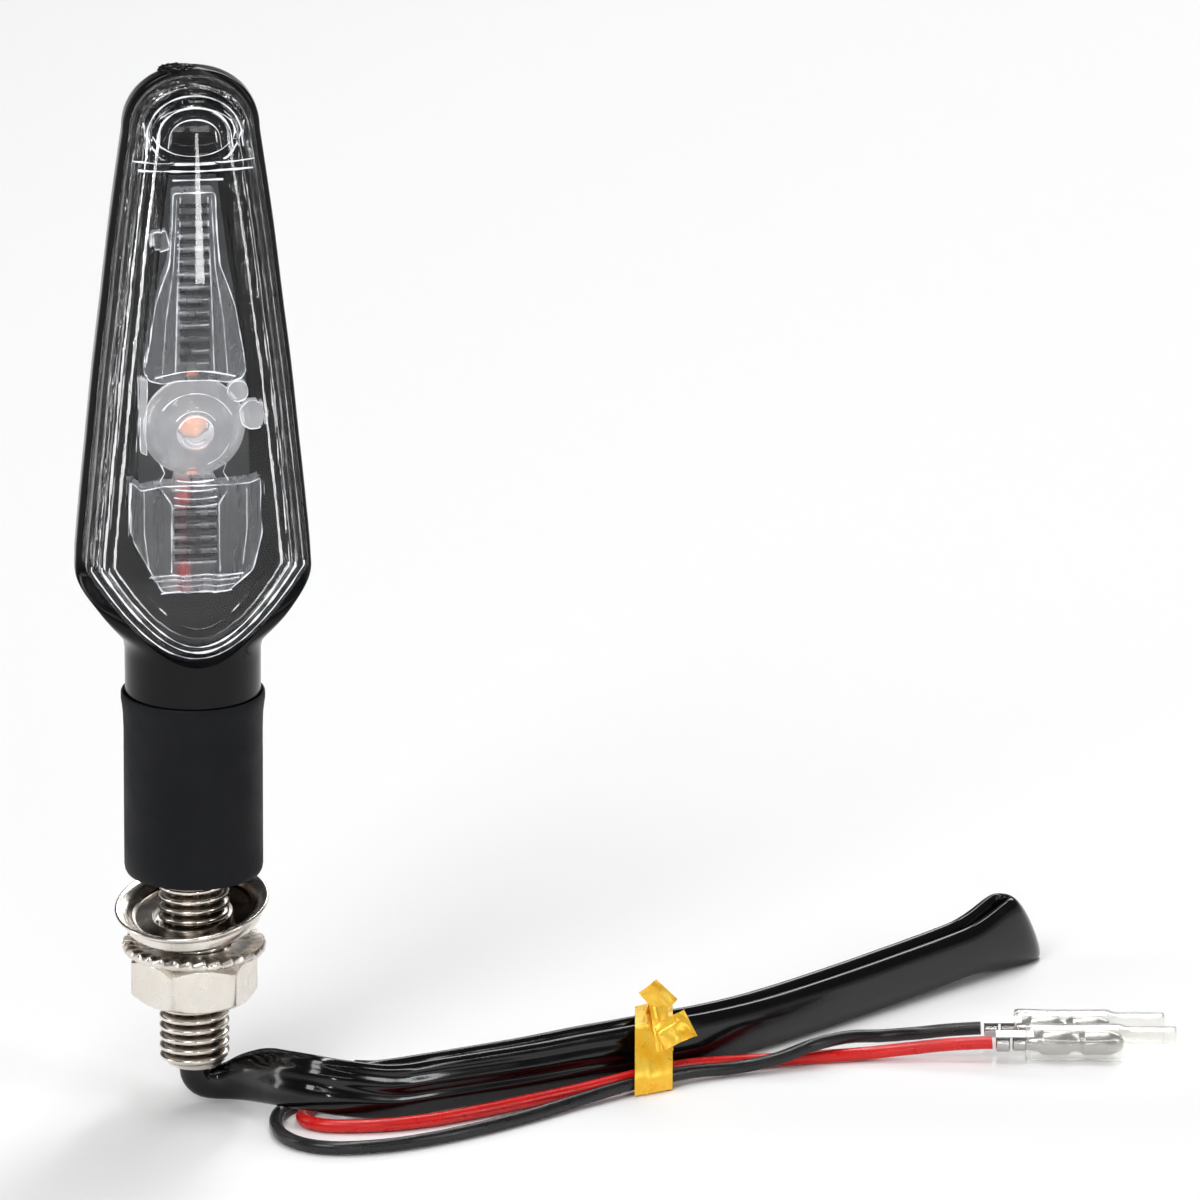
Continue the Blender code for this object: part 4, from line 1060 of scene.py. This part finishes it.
def fill_face(bm, ring, inner, columns=30):
    """Close a symmetric ring with rows of quads that follow the face's relief."""
    count = len(ring)
    rows = []
    for k in range(count // 2 + 1):
        right, left = ring[k], ring[-k % count]
        if right is left:
            rows.append([right] * (columns + 1))
            continue
        row = [right]
        for j in range(1, columns):
            place = right.co.lerp(left.co, j / columns)
            place.y -= face_relief(place.x, place.z, inner)
            row.append(bm.verts.new(place))
        rows.append(row + [left])
    for low, high in zip(rows, rows[1:]):
        for j in range(columns):
            corners = list(dict.fromkeys((low[j], low[j + 1], high[j + 1], high[j])))
            if len(corners) > 2:
                bm.faces.new(corners)


def make_lens(mat):
    """The clear cover: a stepped rim round a crowned face, with a stepped inside."""
    seat = [(x, SEAM_Y - GAP, z) for x, z in lens_outline(0.0015)]
    rim = [(x, SEAM_Y - GAP, z) for x, z in lens_outline(0.0)]
    inner_steps = rounded([(0.0056, 0.0016), (0.0041, 0.0016), (0.0038, 0.0025), (0.0029, 0.0027),
                           (0.0027, 0.0034), (0.0020, 0.0036), (0.0018, 0.0046), (0.0016, 0.0056)],
                          0.00012, 3, closed=False)
    outer_steps = rounded([(0.0001, 0.0060), (0.0001, 0.0024), (0.0008, 0.0020), (0.0010, 0.0015),
                           (0.0017, 0.0013), (0.0019, 0.0007), (0.0026, 0.0005), (0.0028, 0.0001),
                           (0.0036, 0.00003), (FACE_INSET, 0.0)],
                          0.00010, 3, closed=False)
    bm = loft([*(lens_ring(*s) for s in inner_steps), seat, rim, *(lens_ring(*s) for s in outer_steps)],
              cap_ends=False)
    bm.verts.ensure_lookup_table()
    count = len(rim)
    first = [bm.verts[k] for k in range(count)]
    last = [bm.verts[len(bm.verts) - count + k] for k in range(count)]
    fill_face(bm, first, True)
    fill_face(bm, last, False)
    lens = finished("clear_lens", bm, mat, 45.0)
    stepped = count * (len(inner_steps) + 2 + len(outer_steps))
    marked(lens, "rim", [1.0 if k < stepped else 0.0 for k in range(len(lens.data.vertices))])
    return ridden(lens, "head", "clear_plastic", "lens")


def make_lens_ridges(mat):
    """Fine ridges on the lens, which glow as painted highlights in the edge material they are given: along its
    stepped rim at the V and over the dome, and on its inside along the ledge, round the oval swelling and
    beside it."""
    def inside(x, z):
        return (x, -(between(FRONT, z) - 0.0019), z)

    lines = []
    v_end = LENS_STEPS[0] + 1
    dome_start = LENS_STEPS[0] + LENS_STEPS[1]
    dome_end = dome_start + 2 * LENS_STEPS[2]
    at_v = ((0.0008, 0.0021, 0.00020), (0.0021, 0.0007, 0.00024), (0.0031, 0.0002, 0.00016))
    for inset, below, radius in at_v:
        ring = lens_ring(inset, below)
        lines.append((ring[-v_end:] + ring[:v_end + 1], radius, False))
    over_dome = ((0.0021, 0.0007, 0.00012), (0.0036, 0.0002, 0.00015), (0.0052, 0.0001, 0.00010))
    for inset, below, radius in over_dome:
        lines.append((lens_ring(inset, below)[dome_start - 2:dome_end + 3], radius, False))
    for up, left, right, sag, radius in ((0.0009, -0.0086, 0.0084, 0.0005, 0.00014),
                                         (-0.0004, -0.0078, 0.0082, 0.0002, 0.00022),
                                         (-0.0018, -0.0030, 0.0040, 0.0001, 0.00013)):
        span = [left + (right - left) * k / 20 for k in range(21)]
        ledge = [inside(x, WINDOW_BAR_Z + up - sag * (1 - (x / 0.0085) ** 2)) for x in span]
        lines.append((ledge, radius, False))
    oval = [(0.0057 * cos(2 * pi * k / 40), BULGE_Z + 0.0033 * sin(2 * pi * k / 40)) for k in range(40)]
    lines.append(([inside(x, z) for x, z in oval], 0.00009, True))
    for side in (-1, 1):
        cup = [(0.0040 + 0.0030 * k / 8, WINDOW_BAR_Z + 0.0010 + 0.0052 * (k / 8) ** 2) for k in range(9)]
        lines.append(([inside(side * x, z) for x, z in cup], 0.00016, False))
    return edge_beads("lens_ridge_glints", lines, "lens", mat)


def finer(points, closed, step=0.0007):
    """The same line with extra points, so that no stretch between two is longer than step."""
    points = [Vector(p) for p in points]
    ends = points[1:] + points[:1] if closed else points[1:]
    line = []
    for a, b in zip(points, ends):
        parts = max(int((b - a).length / step), 1)
        line += [a.lerp(b, k / parts) for k in range(parts)]
    return line if closed else line + [points[-1]]


def bead(bm, points, radius, closed=False, sides=6):
    """A thin raised line along points; in the glowing edge material it is a painted highlight standing in for
    the glint on a clear moulding's edge. It swells and fades along its way."""
    points = finer(points, closed)
    rings = []
    count = len(points)
    for k, p in enumerate(points):
        before = points[k - 1] if closed or k else p
        after = points[(k + 1) % count] if closed or k + 1 < count else p
        along = (after - before).normalized()
        side = Vector((0.0, 1.0, 0.0))
        up = along.cross(side).normalized()
        swell = 0.62 + 0.95 * noise.noise(p * 420.0) + 0.3 * noise.noise(p * 1500.0)
        girth = radius * min(max(swell, 0.16), 1.25)
        rings.append([p + (side * c + up * s) * girth for c, s, _ in circle(1.0, 0.0, sides)])
    return loft(rings, cap_ends=not closed, closed_loop=closed, bm=bm)


def edge_beads(name, lines, node, mat):
    """Painted highlights on a light guide's moulded edges, as one piece of beads in the glowing edge material:
    (points, radius, closed) each.
    """
    bm = bmesh.new()
    for points, radius, closed in lines:
        bead(bm, points, radius, closed)
    return ridden(finished(name, bm, mat, 60.0), "head", "clear_plastic", node)


def at_depth(outline, y):
    return [(x, y, z) for x, z in outline]


def rungs(half, z_low, count, y):
    """The ladder of thin lines across a guide's ribbed back: two close together on each rib."""
    lines = []
    for k in range(count):
        z = z_low + RIB_PITCH * k
        for up, radius in ((0.0, 0.00011), (0.00055, 0.00015)):
            rung = []
            for x in range(-4, 5):
                bow = 1 - (x / 4) ** 2
                rung.append((x * half / 4, y + 0.00025 * bow, z + up - 0.00012 * bow))
            lines.append((rung, radius, False))
    return lines


def make_guides(upper_mat, lower_mat, glint_edge_mat):
    """Clear light guides above and below the collimator."""
    edge = [(0.0029, 0.1015), (0.0031, 0.0960), (0.0035, 0.0910), (0.0046, 0.0880), (0.0056, 0.0850),
            (0.0063, 0.0812), (0.0069, 0.0780), (0.0073, 0.0757), (0.0066, 0.0744), (0.0046, 0.0738),
            (0.0022, 0.0742)]
    outline = rounded(edge + [(-x, z) for x, z in reversed(edge)], 0.0006, 3)
    bm = bevelled(prism(outline, GUIDE_BACK_Y - 0.0004, GUIDE_FRONT_Y), 0.00030, 3, 50.0)
    lug = [(-0.0060, 0.0953), (-0.0038, 0.0956), (-0.0032, 0.0930), (-0.0046, 0.0925), (-0.0060, 0.0934)]
    prism(rounded(lug, 0.0003), -0.0034, -0.0016, bm=bm)
    upper = finished("upper_guide", bm, upper_mat, 30.0)
    ridden(upper, "head", "clear_plastic", "upper_light_guide")
    front = GUIDE_FRONT_Y
    core = [(0.0027, 0.0752), (0.0024, 0.0860), (0.0020, 0.0950), (0.0019, 0.1008)]
    lines = [(at_depth(outline, front), 0.00013, True),
             (at_depth(rounded(lug, 0.0003), -0.0034), 0.00016, True)]
    for side in (-1, 1):
        lines.append((at_depth([(side * x, z) for x, z in core], front + 0.0004), 0.00013, False))
        lines.append((at_depth([(side * 0.0046, 0.0745), (side * 0.0040, 0.0830), (side * 0.0029, 0.0905),
                                (side * 0.0024, 0.1005)], front + 0.0002), 0.00009, False))
    arch = [(-0.0056 + 0.0112 * k / 12, 0.0747 + 0.0009 * sin(pi * k / 12)) for k in range(13)]
    lines.append((at_depth(arch, front - 0.0001), 0.00016, False))
    lines += rungs(0.0022, 0.0760, 12, GUIDE_BACK_Y - 0.0006)
    edge_beads("upper_guide_edge_glints", lines, "upper_light_guide", glint_edge_mat)

    outline = [(0.0046, 0.0588), (0.0076, 0.0590), (0.0094, 0.0597), (0.0094, 0.0517), (0.0080, 0.0462),
               (0.0045, 0.0432), (-0.0047, 0.0432), (-0.0094, 0.0520), (-0.0094, 0.0597), (-0.0076, 0.0582),
               (-0.0046, 0.0588)]
    outline = rounded(outline, 0.0005, 3)
    bm = bevelled(prism(outline, GUIDE_BACK_Y - 0.0004, GUIDE_FRONT_Y), 0.00030, 3, 50.0)
    throat = [(-0.0032, 0.0578), (-0.0028, 0.0598), (0.0028, 0.0598), (0.0032, 0.0578)]
    prism(throat, GUIDE_BACK_Y - 0.0006, GUIDE_FRONT_Y + 0.0003, bm=bm)
    for low, high, wide, out in ((0.0434, 0.0441, 0.0046, 0.0004), (0.0443, 0.0450, 0.0056, 0.0007),
                                 (0.0453, 0.0458, 0.0064, 0.0009)):
        prism([(wide, high), (wide - 0.0005, low), (0.0005 - wide, low), (-wide, high)],
              GUIDE_FRONT_Y - 0.0001, GUIDE_FRONT_Y - out, bm=bm)
    lower = finished("lower_guide", bm, lower_mat, 30.0)
    ridden(lower, "head", "clear_plastic", "lower_light_guide")
    lines = [(at_depth(outline, front), 0.00014, True)]
    for side in (-1, 1):
        lines.append((at_depth([(side * 0.0034, 0.0460), (side * 0.0033, 0.0560), (side * 0.0048, 0.0584)],
                               front + 0.0003), 0.00012, False))
        lines.append((at_depth([(side * 0.0066, 0.0470), (side * 0.0072, 0.0520), (side * 0.0072, 0.0582)],
                               front + 0.0003), 0.00010, False))
    for z, wide in ((0.0434, 0.0050), (0.0443, 0.0054), (0.0452, 0.0060), (0.0458, 0.0066)):
        wavy = [(wide * x / 4, z + 0.0002 * sin(x * 2.1)) for x in range(-4, 5)]
        lines.append((at_depth(wavy, front - 0.0006), 0.00013, False))
    for z, wide in ((0.0560, 0.0030), (0.0571, 0.0030), (0.0583, 0.0029), (0.0596, 0.0026)):
        sagging = [(wide * x / 4, z - 0.0003 * (1 - (x / 4) ** 2)) for x in range(-4, 5)]
        lines.append((at_depth(sagging, front + 0.0001), 0.00016, False))
    lines += rungs(0.0031, 0.0468, 5, GUIDE_BACK_Y - 0.0006)
    edge_beads("lower_guide_edge_glints", lines, "lower_light_guide", glint_edge_mat)


def facing_front(bm, x, z):
    """Lay a piece turned about +Z so that its top faces -Y, with its axis through (x, z)."""
    turn = Matrix.Translation((x, 0.0, z)) @ Matrix.Rotation(radians(90.0), 4, "X")
    bmesh.ops.transform(bm, matrix=turn, verts=bm.verts)
    return bm


def make_collimator(mat, glint_edge_mat):
    """The round optic over the main LED, with a lens at its middle and two tabs."""
    profile = [(0.0008, 0.0022), (0.0014, 0.0020), (0.0019, -GUIDE_BACK_Y), (0.0058, -GUIDE_BACK_Y)]
    profile += [(0.0066, 0.0013), (0.0072, 0.0018), (COLLIMATOR_R, 0.0026), (0.0068, 0.0034)]
    profile += [(0.0064, 0.0040), (0.0056, 0.0049), (0.0044, 0.0056), (0.0034, 0.0058), (0.0027, 0.0057)]
    profile += [(0.0024, 0.0060), (0.0016, 0.0065), (0.0008, 0.0067)]
    bm = facing_front(spindle(rounded(profile, 0.0002, 2, closed=False), 96), 0.0, COLLIMATOR_Z)
    for x, z, r in TABS:
        tab = [(r - 0.0003, 0.0016), (r, 0.0019), (r, 0.0031), (r - 0.0003, 0.0034)]
        part = facing_front(spindle(tab, 40), x, z)
        mesh = bpy.data.meshes.new("tab")
        part.to_mesh(mesh)
        part.free()
        bm.from_mesh(mesh)
        bpy.data.meshes.remove(mesh)
    plate = [(-0.0079, 0.0742), (-0.0066, 0.0736), (-0.0066, 0.0628), (-0.0079, 0.0634)]
    prism(plate, -0.0016, -0.0030, bm=bm)
    dome = finished("collimator_optic", bm, mat, 30.0)
    ridden(dome, "head", "clear_plastic", "collimator")
    lines = []
    for r, y, start, end, radius in (
        (0.0071, -0.0024, -50, 230, 0.00016), (0.0056, -0.0052, 25, 150, 0.00009),
        (0.0050, -0.0054, -70, -20, 0.00009), (0.0033, -0.0061, 35, 150, 0.00010),
        (0.0025, -0.0062, 20, 165, 0.00013), (0.0021, -0.0064, 200, 330, 0.00010),
        (0.0014, -0.0066, 210, 320, 0.00014),
    ):
        arc = [(r * cos(radians(a)), y, COLLIMATOR_Z + r * sin(radians(a))) for a in range(start, end + 1, 10)]
        lines.append((arc, radius, False))
    for side in (-1, 1):
        lines.append(([(side * 0.0046, -0.0024, 0.0612), (side * 0.0041, -0.0028, 0.0600),
                       (side * 0.0048, -0.0030, 0.0588)], 0.00015, False))
    for x, z, r in TABS:
        ring = [(x + c, -0.0034, z + s) for c, s, _ in circle(r, 0.0, 20)]
        lines.append((ring, 0.00012, True))
    lines.append((at_depth(plate, -0.0030), 0.00012, True))
    edge_beads("collimator_edge_glints", lines, "collimator", glint_edge_mat)


def finish_cad_nodes():
    """Better materials on the CAD nodes whose shape is kept."""
    corners = [Vector(c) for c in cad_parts["main_led"].bound_box]
    looks = {"circuit_board": board_face(), "upper_led": amber_led(), "resistor_1": chip_body()}
    looks["main_led"] = amber_led("amber_core_led", sum(corners, Vector()) / 8)
    looks["lower_led"] = looks["upper_led"]
    looks["resistor_2"] = looks["blocking_diode"] = looks["resistor_1"]
    for name, mat in looks.items():
        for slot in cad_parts[name].material_slots:
            slot.material = mat


# ================================================================ stem and fasteners
def make_rubber(mat):
    """The rubber stem in two halves that meet where its two joints do."""
    outer = [
        (RUBBER_R - 0.0008, 0.0), (RUBBER_R - 0.0003, 0.0002), (RUBBER_R - 0.0001, 0.0006), (RUBBER_R, 0.0012),
    ]
    lip = [
        (RUBBER_R, 0.0215), (RUBBER_R + 0.00008, 0.0238), (RUBBER_R + 0.00022, 0.0250), (RUBBER_LIP_R, 0.0258),
        (RUBBER_LIP_R, RUBBER_H - 0.0003), (RUBBER_LIP_R - 0.00008, RUBBER_H - 0.0001),
        (RUBBER_LIP_R - 0.0002, RUBBER_H), (NECK_R + 0.00015, RUBBER_H - 0.0001),
        (NECK_R + 0.00012, NECK_BOTTOM_Z - GAP), (SPIGOT_R + GAP, NECK_BOTTOM_Z - GAP),
        (SPIGOT_R + GAP, SPIGOT_BOTTOM_Z - GAP), (0.0040, SPIGOT_BOTTOM_Z - GAP),
    ]
    foot = [
        (0.0040, FLANGE_Z[1] + GAP), (FLANGE_R + GAP, FLANGE_Z[1] + GAP), (FLANGE_R + GAP, FLANGE_Z[0] - GAP),
        (THREAD_R + GAP, FLANGE_Z[0] - GAP), (THREAD_R + GAP, 0.0002), (THREAD_R + 0.0005, 0.0),
    ]
    wall = [0.0012 + (0.0215 - 0.0012) * k / 18 for k in range(1, 18)]
    low_wall = [z for z in wall if z < RUBBER_SPLIT_Z - 0.0002]
    high_wall = [z for z in wall if z > RUBBER_SPLIT_Z + 0.0002]
    lower = outer + [(RUBBER_R, z) for z in low_wall] + [(RUBBER_R, RUBBER_SPLIT_Z), (0.0040, RUBBER_SPLIT_Z)]
    lower += [(0.0040, z) for z in (0.0100, 0.0080)] + foot
    upper = [(RUBBER_R, RUBBER_SPLIT_Z)] + [(RUBBER_R, z) for z in high_wall] + lip
    upper += [(0.0040, z) for z in (0.0180, 0.0160, 0.0140)] + [(0.0040, RUBBER_SPLIT_Z)]
    for name, profile, bend in (
        ("rubber_stem_lower", lower, LOWER_BEND), ("rubber_stem_upper", upper, UPPER_BEND),
    ):
        blended(finished(name, turned(profile, 112), mat, 40.0), "rubber_stem")


def make_inside_wires(red, black):
    """The two wires from the board down through the stem, each in pieces that meet at the joints."""
    for name, mirror, mat, slot_name in (
        ("red_wire_inside", 1, red, "red_insulation"), ("black_wire_inside", -1, black, "black_pvc"),
    ):
        route = smooth_route([(x * mirror, y, z) for x, y, z in RED_WIRE_INSIDE], 0.0008)
        lower = [p for p in route if p.z < RUBBER_SPLIT_Z]
        upper = [p for p in route if p.z > RUBBER_SPLIT_Z]
        meet = Vector((route[-1].x, 0.0, RUBBER_SPLIT_Z))
        for end, points, bend in (
            ("upper", upper + [meet], UPPER_BEND), ("lower", [meet] + lower, LOWER_BEND),
        ):
            rings = [circle(WIRE_D / 2, p.z, 16, p.x, p.y) for p in points]
            blended(finished(f"{name}_{end}", loft(rings), mat, 50.0), name)


def thread_radius(angle, z, end_z):
    """Radius of the rounded M10 thread, and how deep the point lies between its crests from 0 to 1, which the
    bolt's material uses as painted shade.
    """
    phase = (z / THREAD_PITCH - angle / (2 * pi)) % 1.0
    depth = (0.5 - 0.5 * cos(2 * pi * phase)) ** 1.9
    fade = ease((z - end_z) / 0.0016)
    crest = THREAD_R - 0.0011 * (1 - fade) ** 2
    r = crest - THREAD_DEPTH * depth * (0.25 + 0.75 * fade)
    return r, depth * fade


def make_bolt(mat):
    """The hollow stem bolt: a flange in the rubber and a rounded M10 thread."""
    around, top = 96, 0.0022
    count = int((top - BOLT_END_Z) / 0.0001)
    rings, shade_depths = [], []
    for k in range(count + 1):
        z = BOLT_END_Z + (top - BOLT_END_Z) * k / count
        ring = []
        for j in range(around):
            a = 2 * pi * j / around
            r, depth = thread_radius(a, z, BOLT_END_Z)
            ring.append((r * cos(a), r * sin(a), z))
            shade_depths.append(depth)
        rings.append(ring)
    plain = [
        (THREAD_R - 0.0004, FLANGE_Z[0]), (FLANGE_R - 0.0002, FLANGE_Z[0]), (FLANGE_R, FLANGE_Z[0] + 0.0002),
        (FLANGE_R, FLANGE_Z[1] - 0.0002), (FLANGE_R - 0.0002, FLANGE_Z[1]), (BOLT_BORE_R, FLANGE_Z[1]),
        (BOLT_BORE_R, BOLT_END_Z + 0.0004), (BOLT_BORE_R + 0.0003, BOLT_END_Z - 0.00005),
    # A piece at a joint of the stem, with its placement baked into its points and its CAD node hidden.
    ]
    rings += [circle(r, z, around) for r, z in plain]
    shade_depths += [0.0] * (around * len(plain))
    obj = finished("threaded_stem_bolt", loft(rings, closed_loop=True), mat, 50.0)
    # Painted shade: each point stores how deep it lies in the thread's valley, and the material darkens it by
    # that.
    return ridden(marked(obj, "painted_shade", shade_depths), "stem", "nickel_plate", "stem_bolt")


def make_cup_washer(mat):
    """The dished washer, hanging askew on the bolt."""
    profile = [
        (WASHER_BORE_R, 0.0), (0.0091, 0.0), (0.0097, 0.0005), (0.0099, 0.0014), (0.0099, 0.0020),
        (0.0104, 0.0023), (0.0107, 0.0026), (0.0110, 0.0028), (0.01105, 0.0031), (0.0108, 0.0033),
        (0.0100, 0.0030), (0.0094, 0.0026), (0.0090, 0.0021), (0.0087, 0.0016), (0.0083, 0.0014),
        (WASHER_BORE_R, 0.0014),
    ]
    bm = turned(rounded(profile, 0.00022, 4), 128)
    # Painted shade: inside the dish the washer is darkened, and more so towards +x and +y, where shade falls.
    shade_depths = []
    for vert in bm.verts:
        x, y, z = vert.co
        r = sqrt(x * x + y * y)
        inside = ease((z - 0.0010) / 0.0002) * (1 - ease((r - 0.0088) / 0.0012))
        shade_depths.append(inside * (0.62 + 0.38 * ease((0.0040 + x + 0.5 * y) / 0.0050)))
    tilt = Matrix.Translation((0.0, 0.0, WASHER_Z))
    tilt = tilt @ Matrix.Rotation(WASHER_TILT[1], 4, "Y") @ Matrix.Rotation(-WASHER_TILT[0], 4, "X")
    bmesh.ops.transform(bm, matrix=tilt, verts=bm.verts)
    obj = marked(finished("dished_washer", bm, mat, 40.0), "painted_shade", shade_depths)
    return ridden(obj, "cup_washer", "nickel_plate", "cup_washer")


def make_lock_washer(mat):
    """The toothed washer: overlapping, twisted teeth round a flat ring."""
    low, high = LOCK_WASHER_Z
    teeth, per_tooth = 30, 10
    rings, shade_depths = [], []
    for k in range(teeth * per_tooth):
        a = 2 * pi * k / (teeth * per_tooth)
        saw = (k % per_tooth) / per_tooth
        ramp = saw / 0.75 if saw < 0.75 else (1 - saw) / 0.25
        edge = LOCK_WASHER_R - 0.00014 * (1 - ramp)
        lift = 0.00050 * (ramp - 0.5)
        tooth_top = high - 0.00015 + lift
        profile = [
            (THREAD_R + GAP + 0.0001, low + 0.0001), (0.0080, low), (edge - 0.0010, low + 0.00005),
            (edge - 0.0002, low + 0.0003), (edge, low + 0.0006),
            (edge, tooth_top - 0.0004), (edge - 0.0003, tooth_top), (edge - 0.0012, tooth_top - 0.00005),
            (0.0082, high - 0.0003 + lift * 0.6), (0.0074, high - 0.0005),
            (THREAD_R + GAP + 0.0001, high - 0.0005),
        ]
        rings.append([(r * cos(a), r * sin(a), z) for r, z in profile])
        # Painted shade: the washer's top, from the teeth's crests inwards, is darkened most at the low end of
        # each tooth, and elsewhere only slightly.
        shade_depths += [0.7 * (0.9 - 0.6 * ramp if 6 <= j <= 9 else 0.05) for j in range(len(profile))]
    obj = finished("toothed_lock_washer", loft(rings, closed_loop=True), mat, 40.0)
    marked(obj, "painted_shade", shade_depths)
    return ridden(obj, "toothed_washer", "nickel_plate", "lock_washer")


def make_nut(mat):
    """The thin hex nut, its corners rounded off by a chamfer at both ends."""
    flat = NUT_FLATS / 2
    corner = flat / cos(pi / 6)
    low, high = NUT_Z
    per_side = 24
    rings = []
    for k in range(6 * per_side):
        a = 2 * pi * k / (6 * per_side)
        local = (a + pi / 6) % (pi / 3) - pi / 6
        r = min(flat / cos(local), corner - 0.00016)
        cut = (r - flat) / (corner - flat) * 0.0008
        profile = rounded([
            (NUT_BORE_R, low + 0.0004), (NUT_BORE_R + 0.0005, low), (flat - 0.0003, low),
            (r, low + 0.0002 + cut), (r, high - 0.0003 - cut), (flat - 0.0003, high),
            (NUT_BORE_R + 0.0005, high), (NUT_BORE_R, high - 0.0004)], 0.00012, 2)
        turn = a + NUT_TURN
        rings.append([(q * cos(turn), q * sin(turn), z) for q, z in profile])
    nut = finished("chamfered_nut", loft(rings, closed_loop=True), mat, 24.0)
    return ridden(nut, "nut", "nickel_plate", "hex_nut")


# ================================================================ the whole scene
def build():
    make_camera()
    pvc, vinyl, tin, foil = black_pvc(), cover_vinyl(), tinned(), gold_foil()
    red = wire_insulation("red_insulation", (0.55, 0.006, 0.006), (0.72, 0.012, 0.010))
    black = wire_insulation("black_insulation", (0.006, 0.006, 0.007), (0.011, 0.011, 0.012))
    red_terminal = make_terminal("red_bullet_terminal", "red_terminal", RED_CRIMP, tin)
    black_terminal = make_terminal("black_bullet_terminal", "black_terminal", BLACK_CRIMP, tin)
    red_cover = make_cover("red_vinyl_cover", "red_terminal_cover", RED_CRIMP, vinyl, "red_cover")
    black_cover = make_cover("black_vinyl_cover", "black_terminal_cover", BLACK_CRIMP, vinyl, "black_cover")
    make_sleeve(pvc)
    make_wire("red_lead", RED_WIRE, red, "red_insulation", "red_wire")
    make_wire("black_lead", BLACK_WIRE, black, "black_pvc", "black_wire")
    make_tie(foil)

    shell, clear = gloss_black(), lens_plastic()
    make_housing(shell)
    make_gate_nub(shell)
    make_lens(clear)
    glint_edge = glowing_edge()
    make_lens_ridges(glint_edge)
    make_guides(guide_plastic("upper_guide_plastic", 0.0021, 0.0762, 0.1000),
                guide_plastic("lower_guide_plastic", 0.0030, 0.0470, 0.0556), glint_edge)
    make_collimator(collimator_plastic_painted_glow(), glint_edge)
    finish_cad_nodes()

    make_rubber(stem_rubber())
    make_inside_wires(red, black)
    make_bolt(nickel("bolt_nickel", (0.16, 0.30), hollow_shade=True))
    make_cup_washer(nickel("washer_nickel", (0.16, 0.30), hollow_shade=True))
    make_lock_washer(nickel("toothed_nickel", (0.22, 0.36), hollow_shade=True))
    make_nut(nickel("nut_nickel", (0.22, 0.34), pits=0.00004))
    make_studio()


build()
bpy.context.view_layer.update()
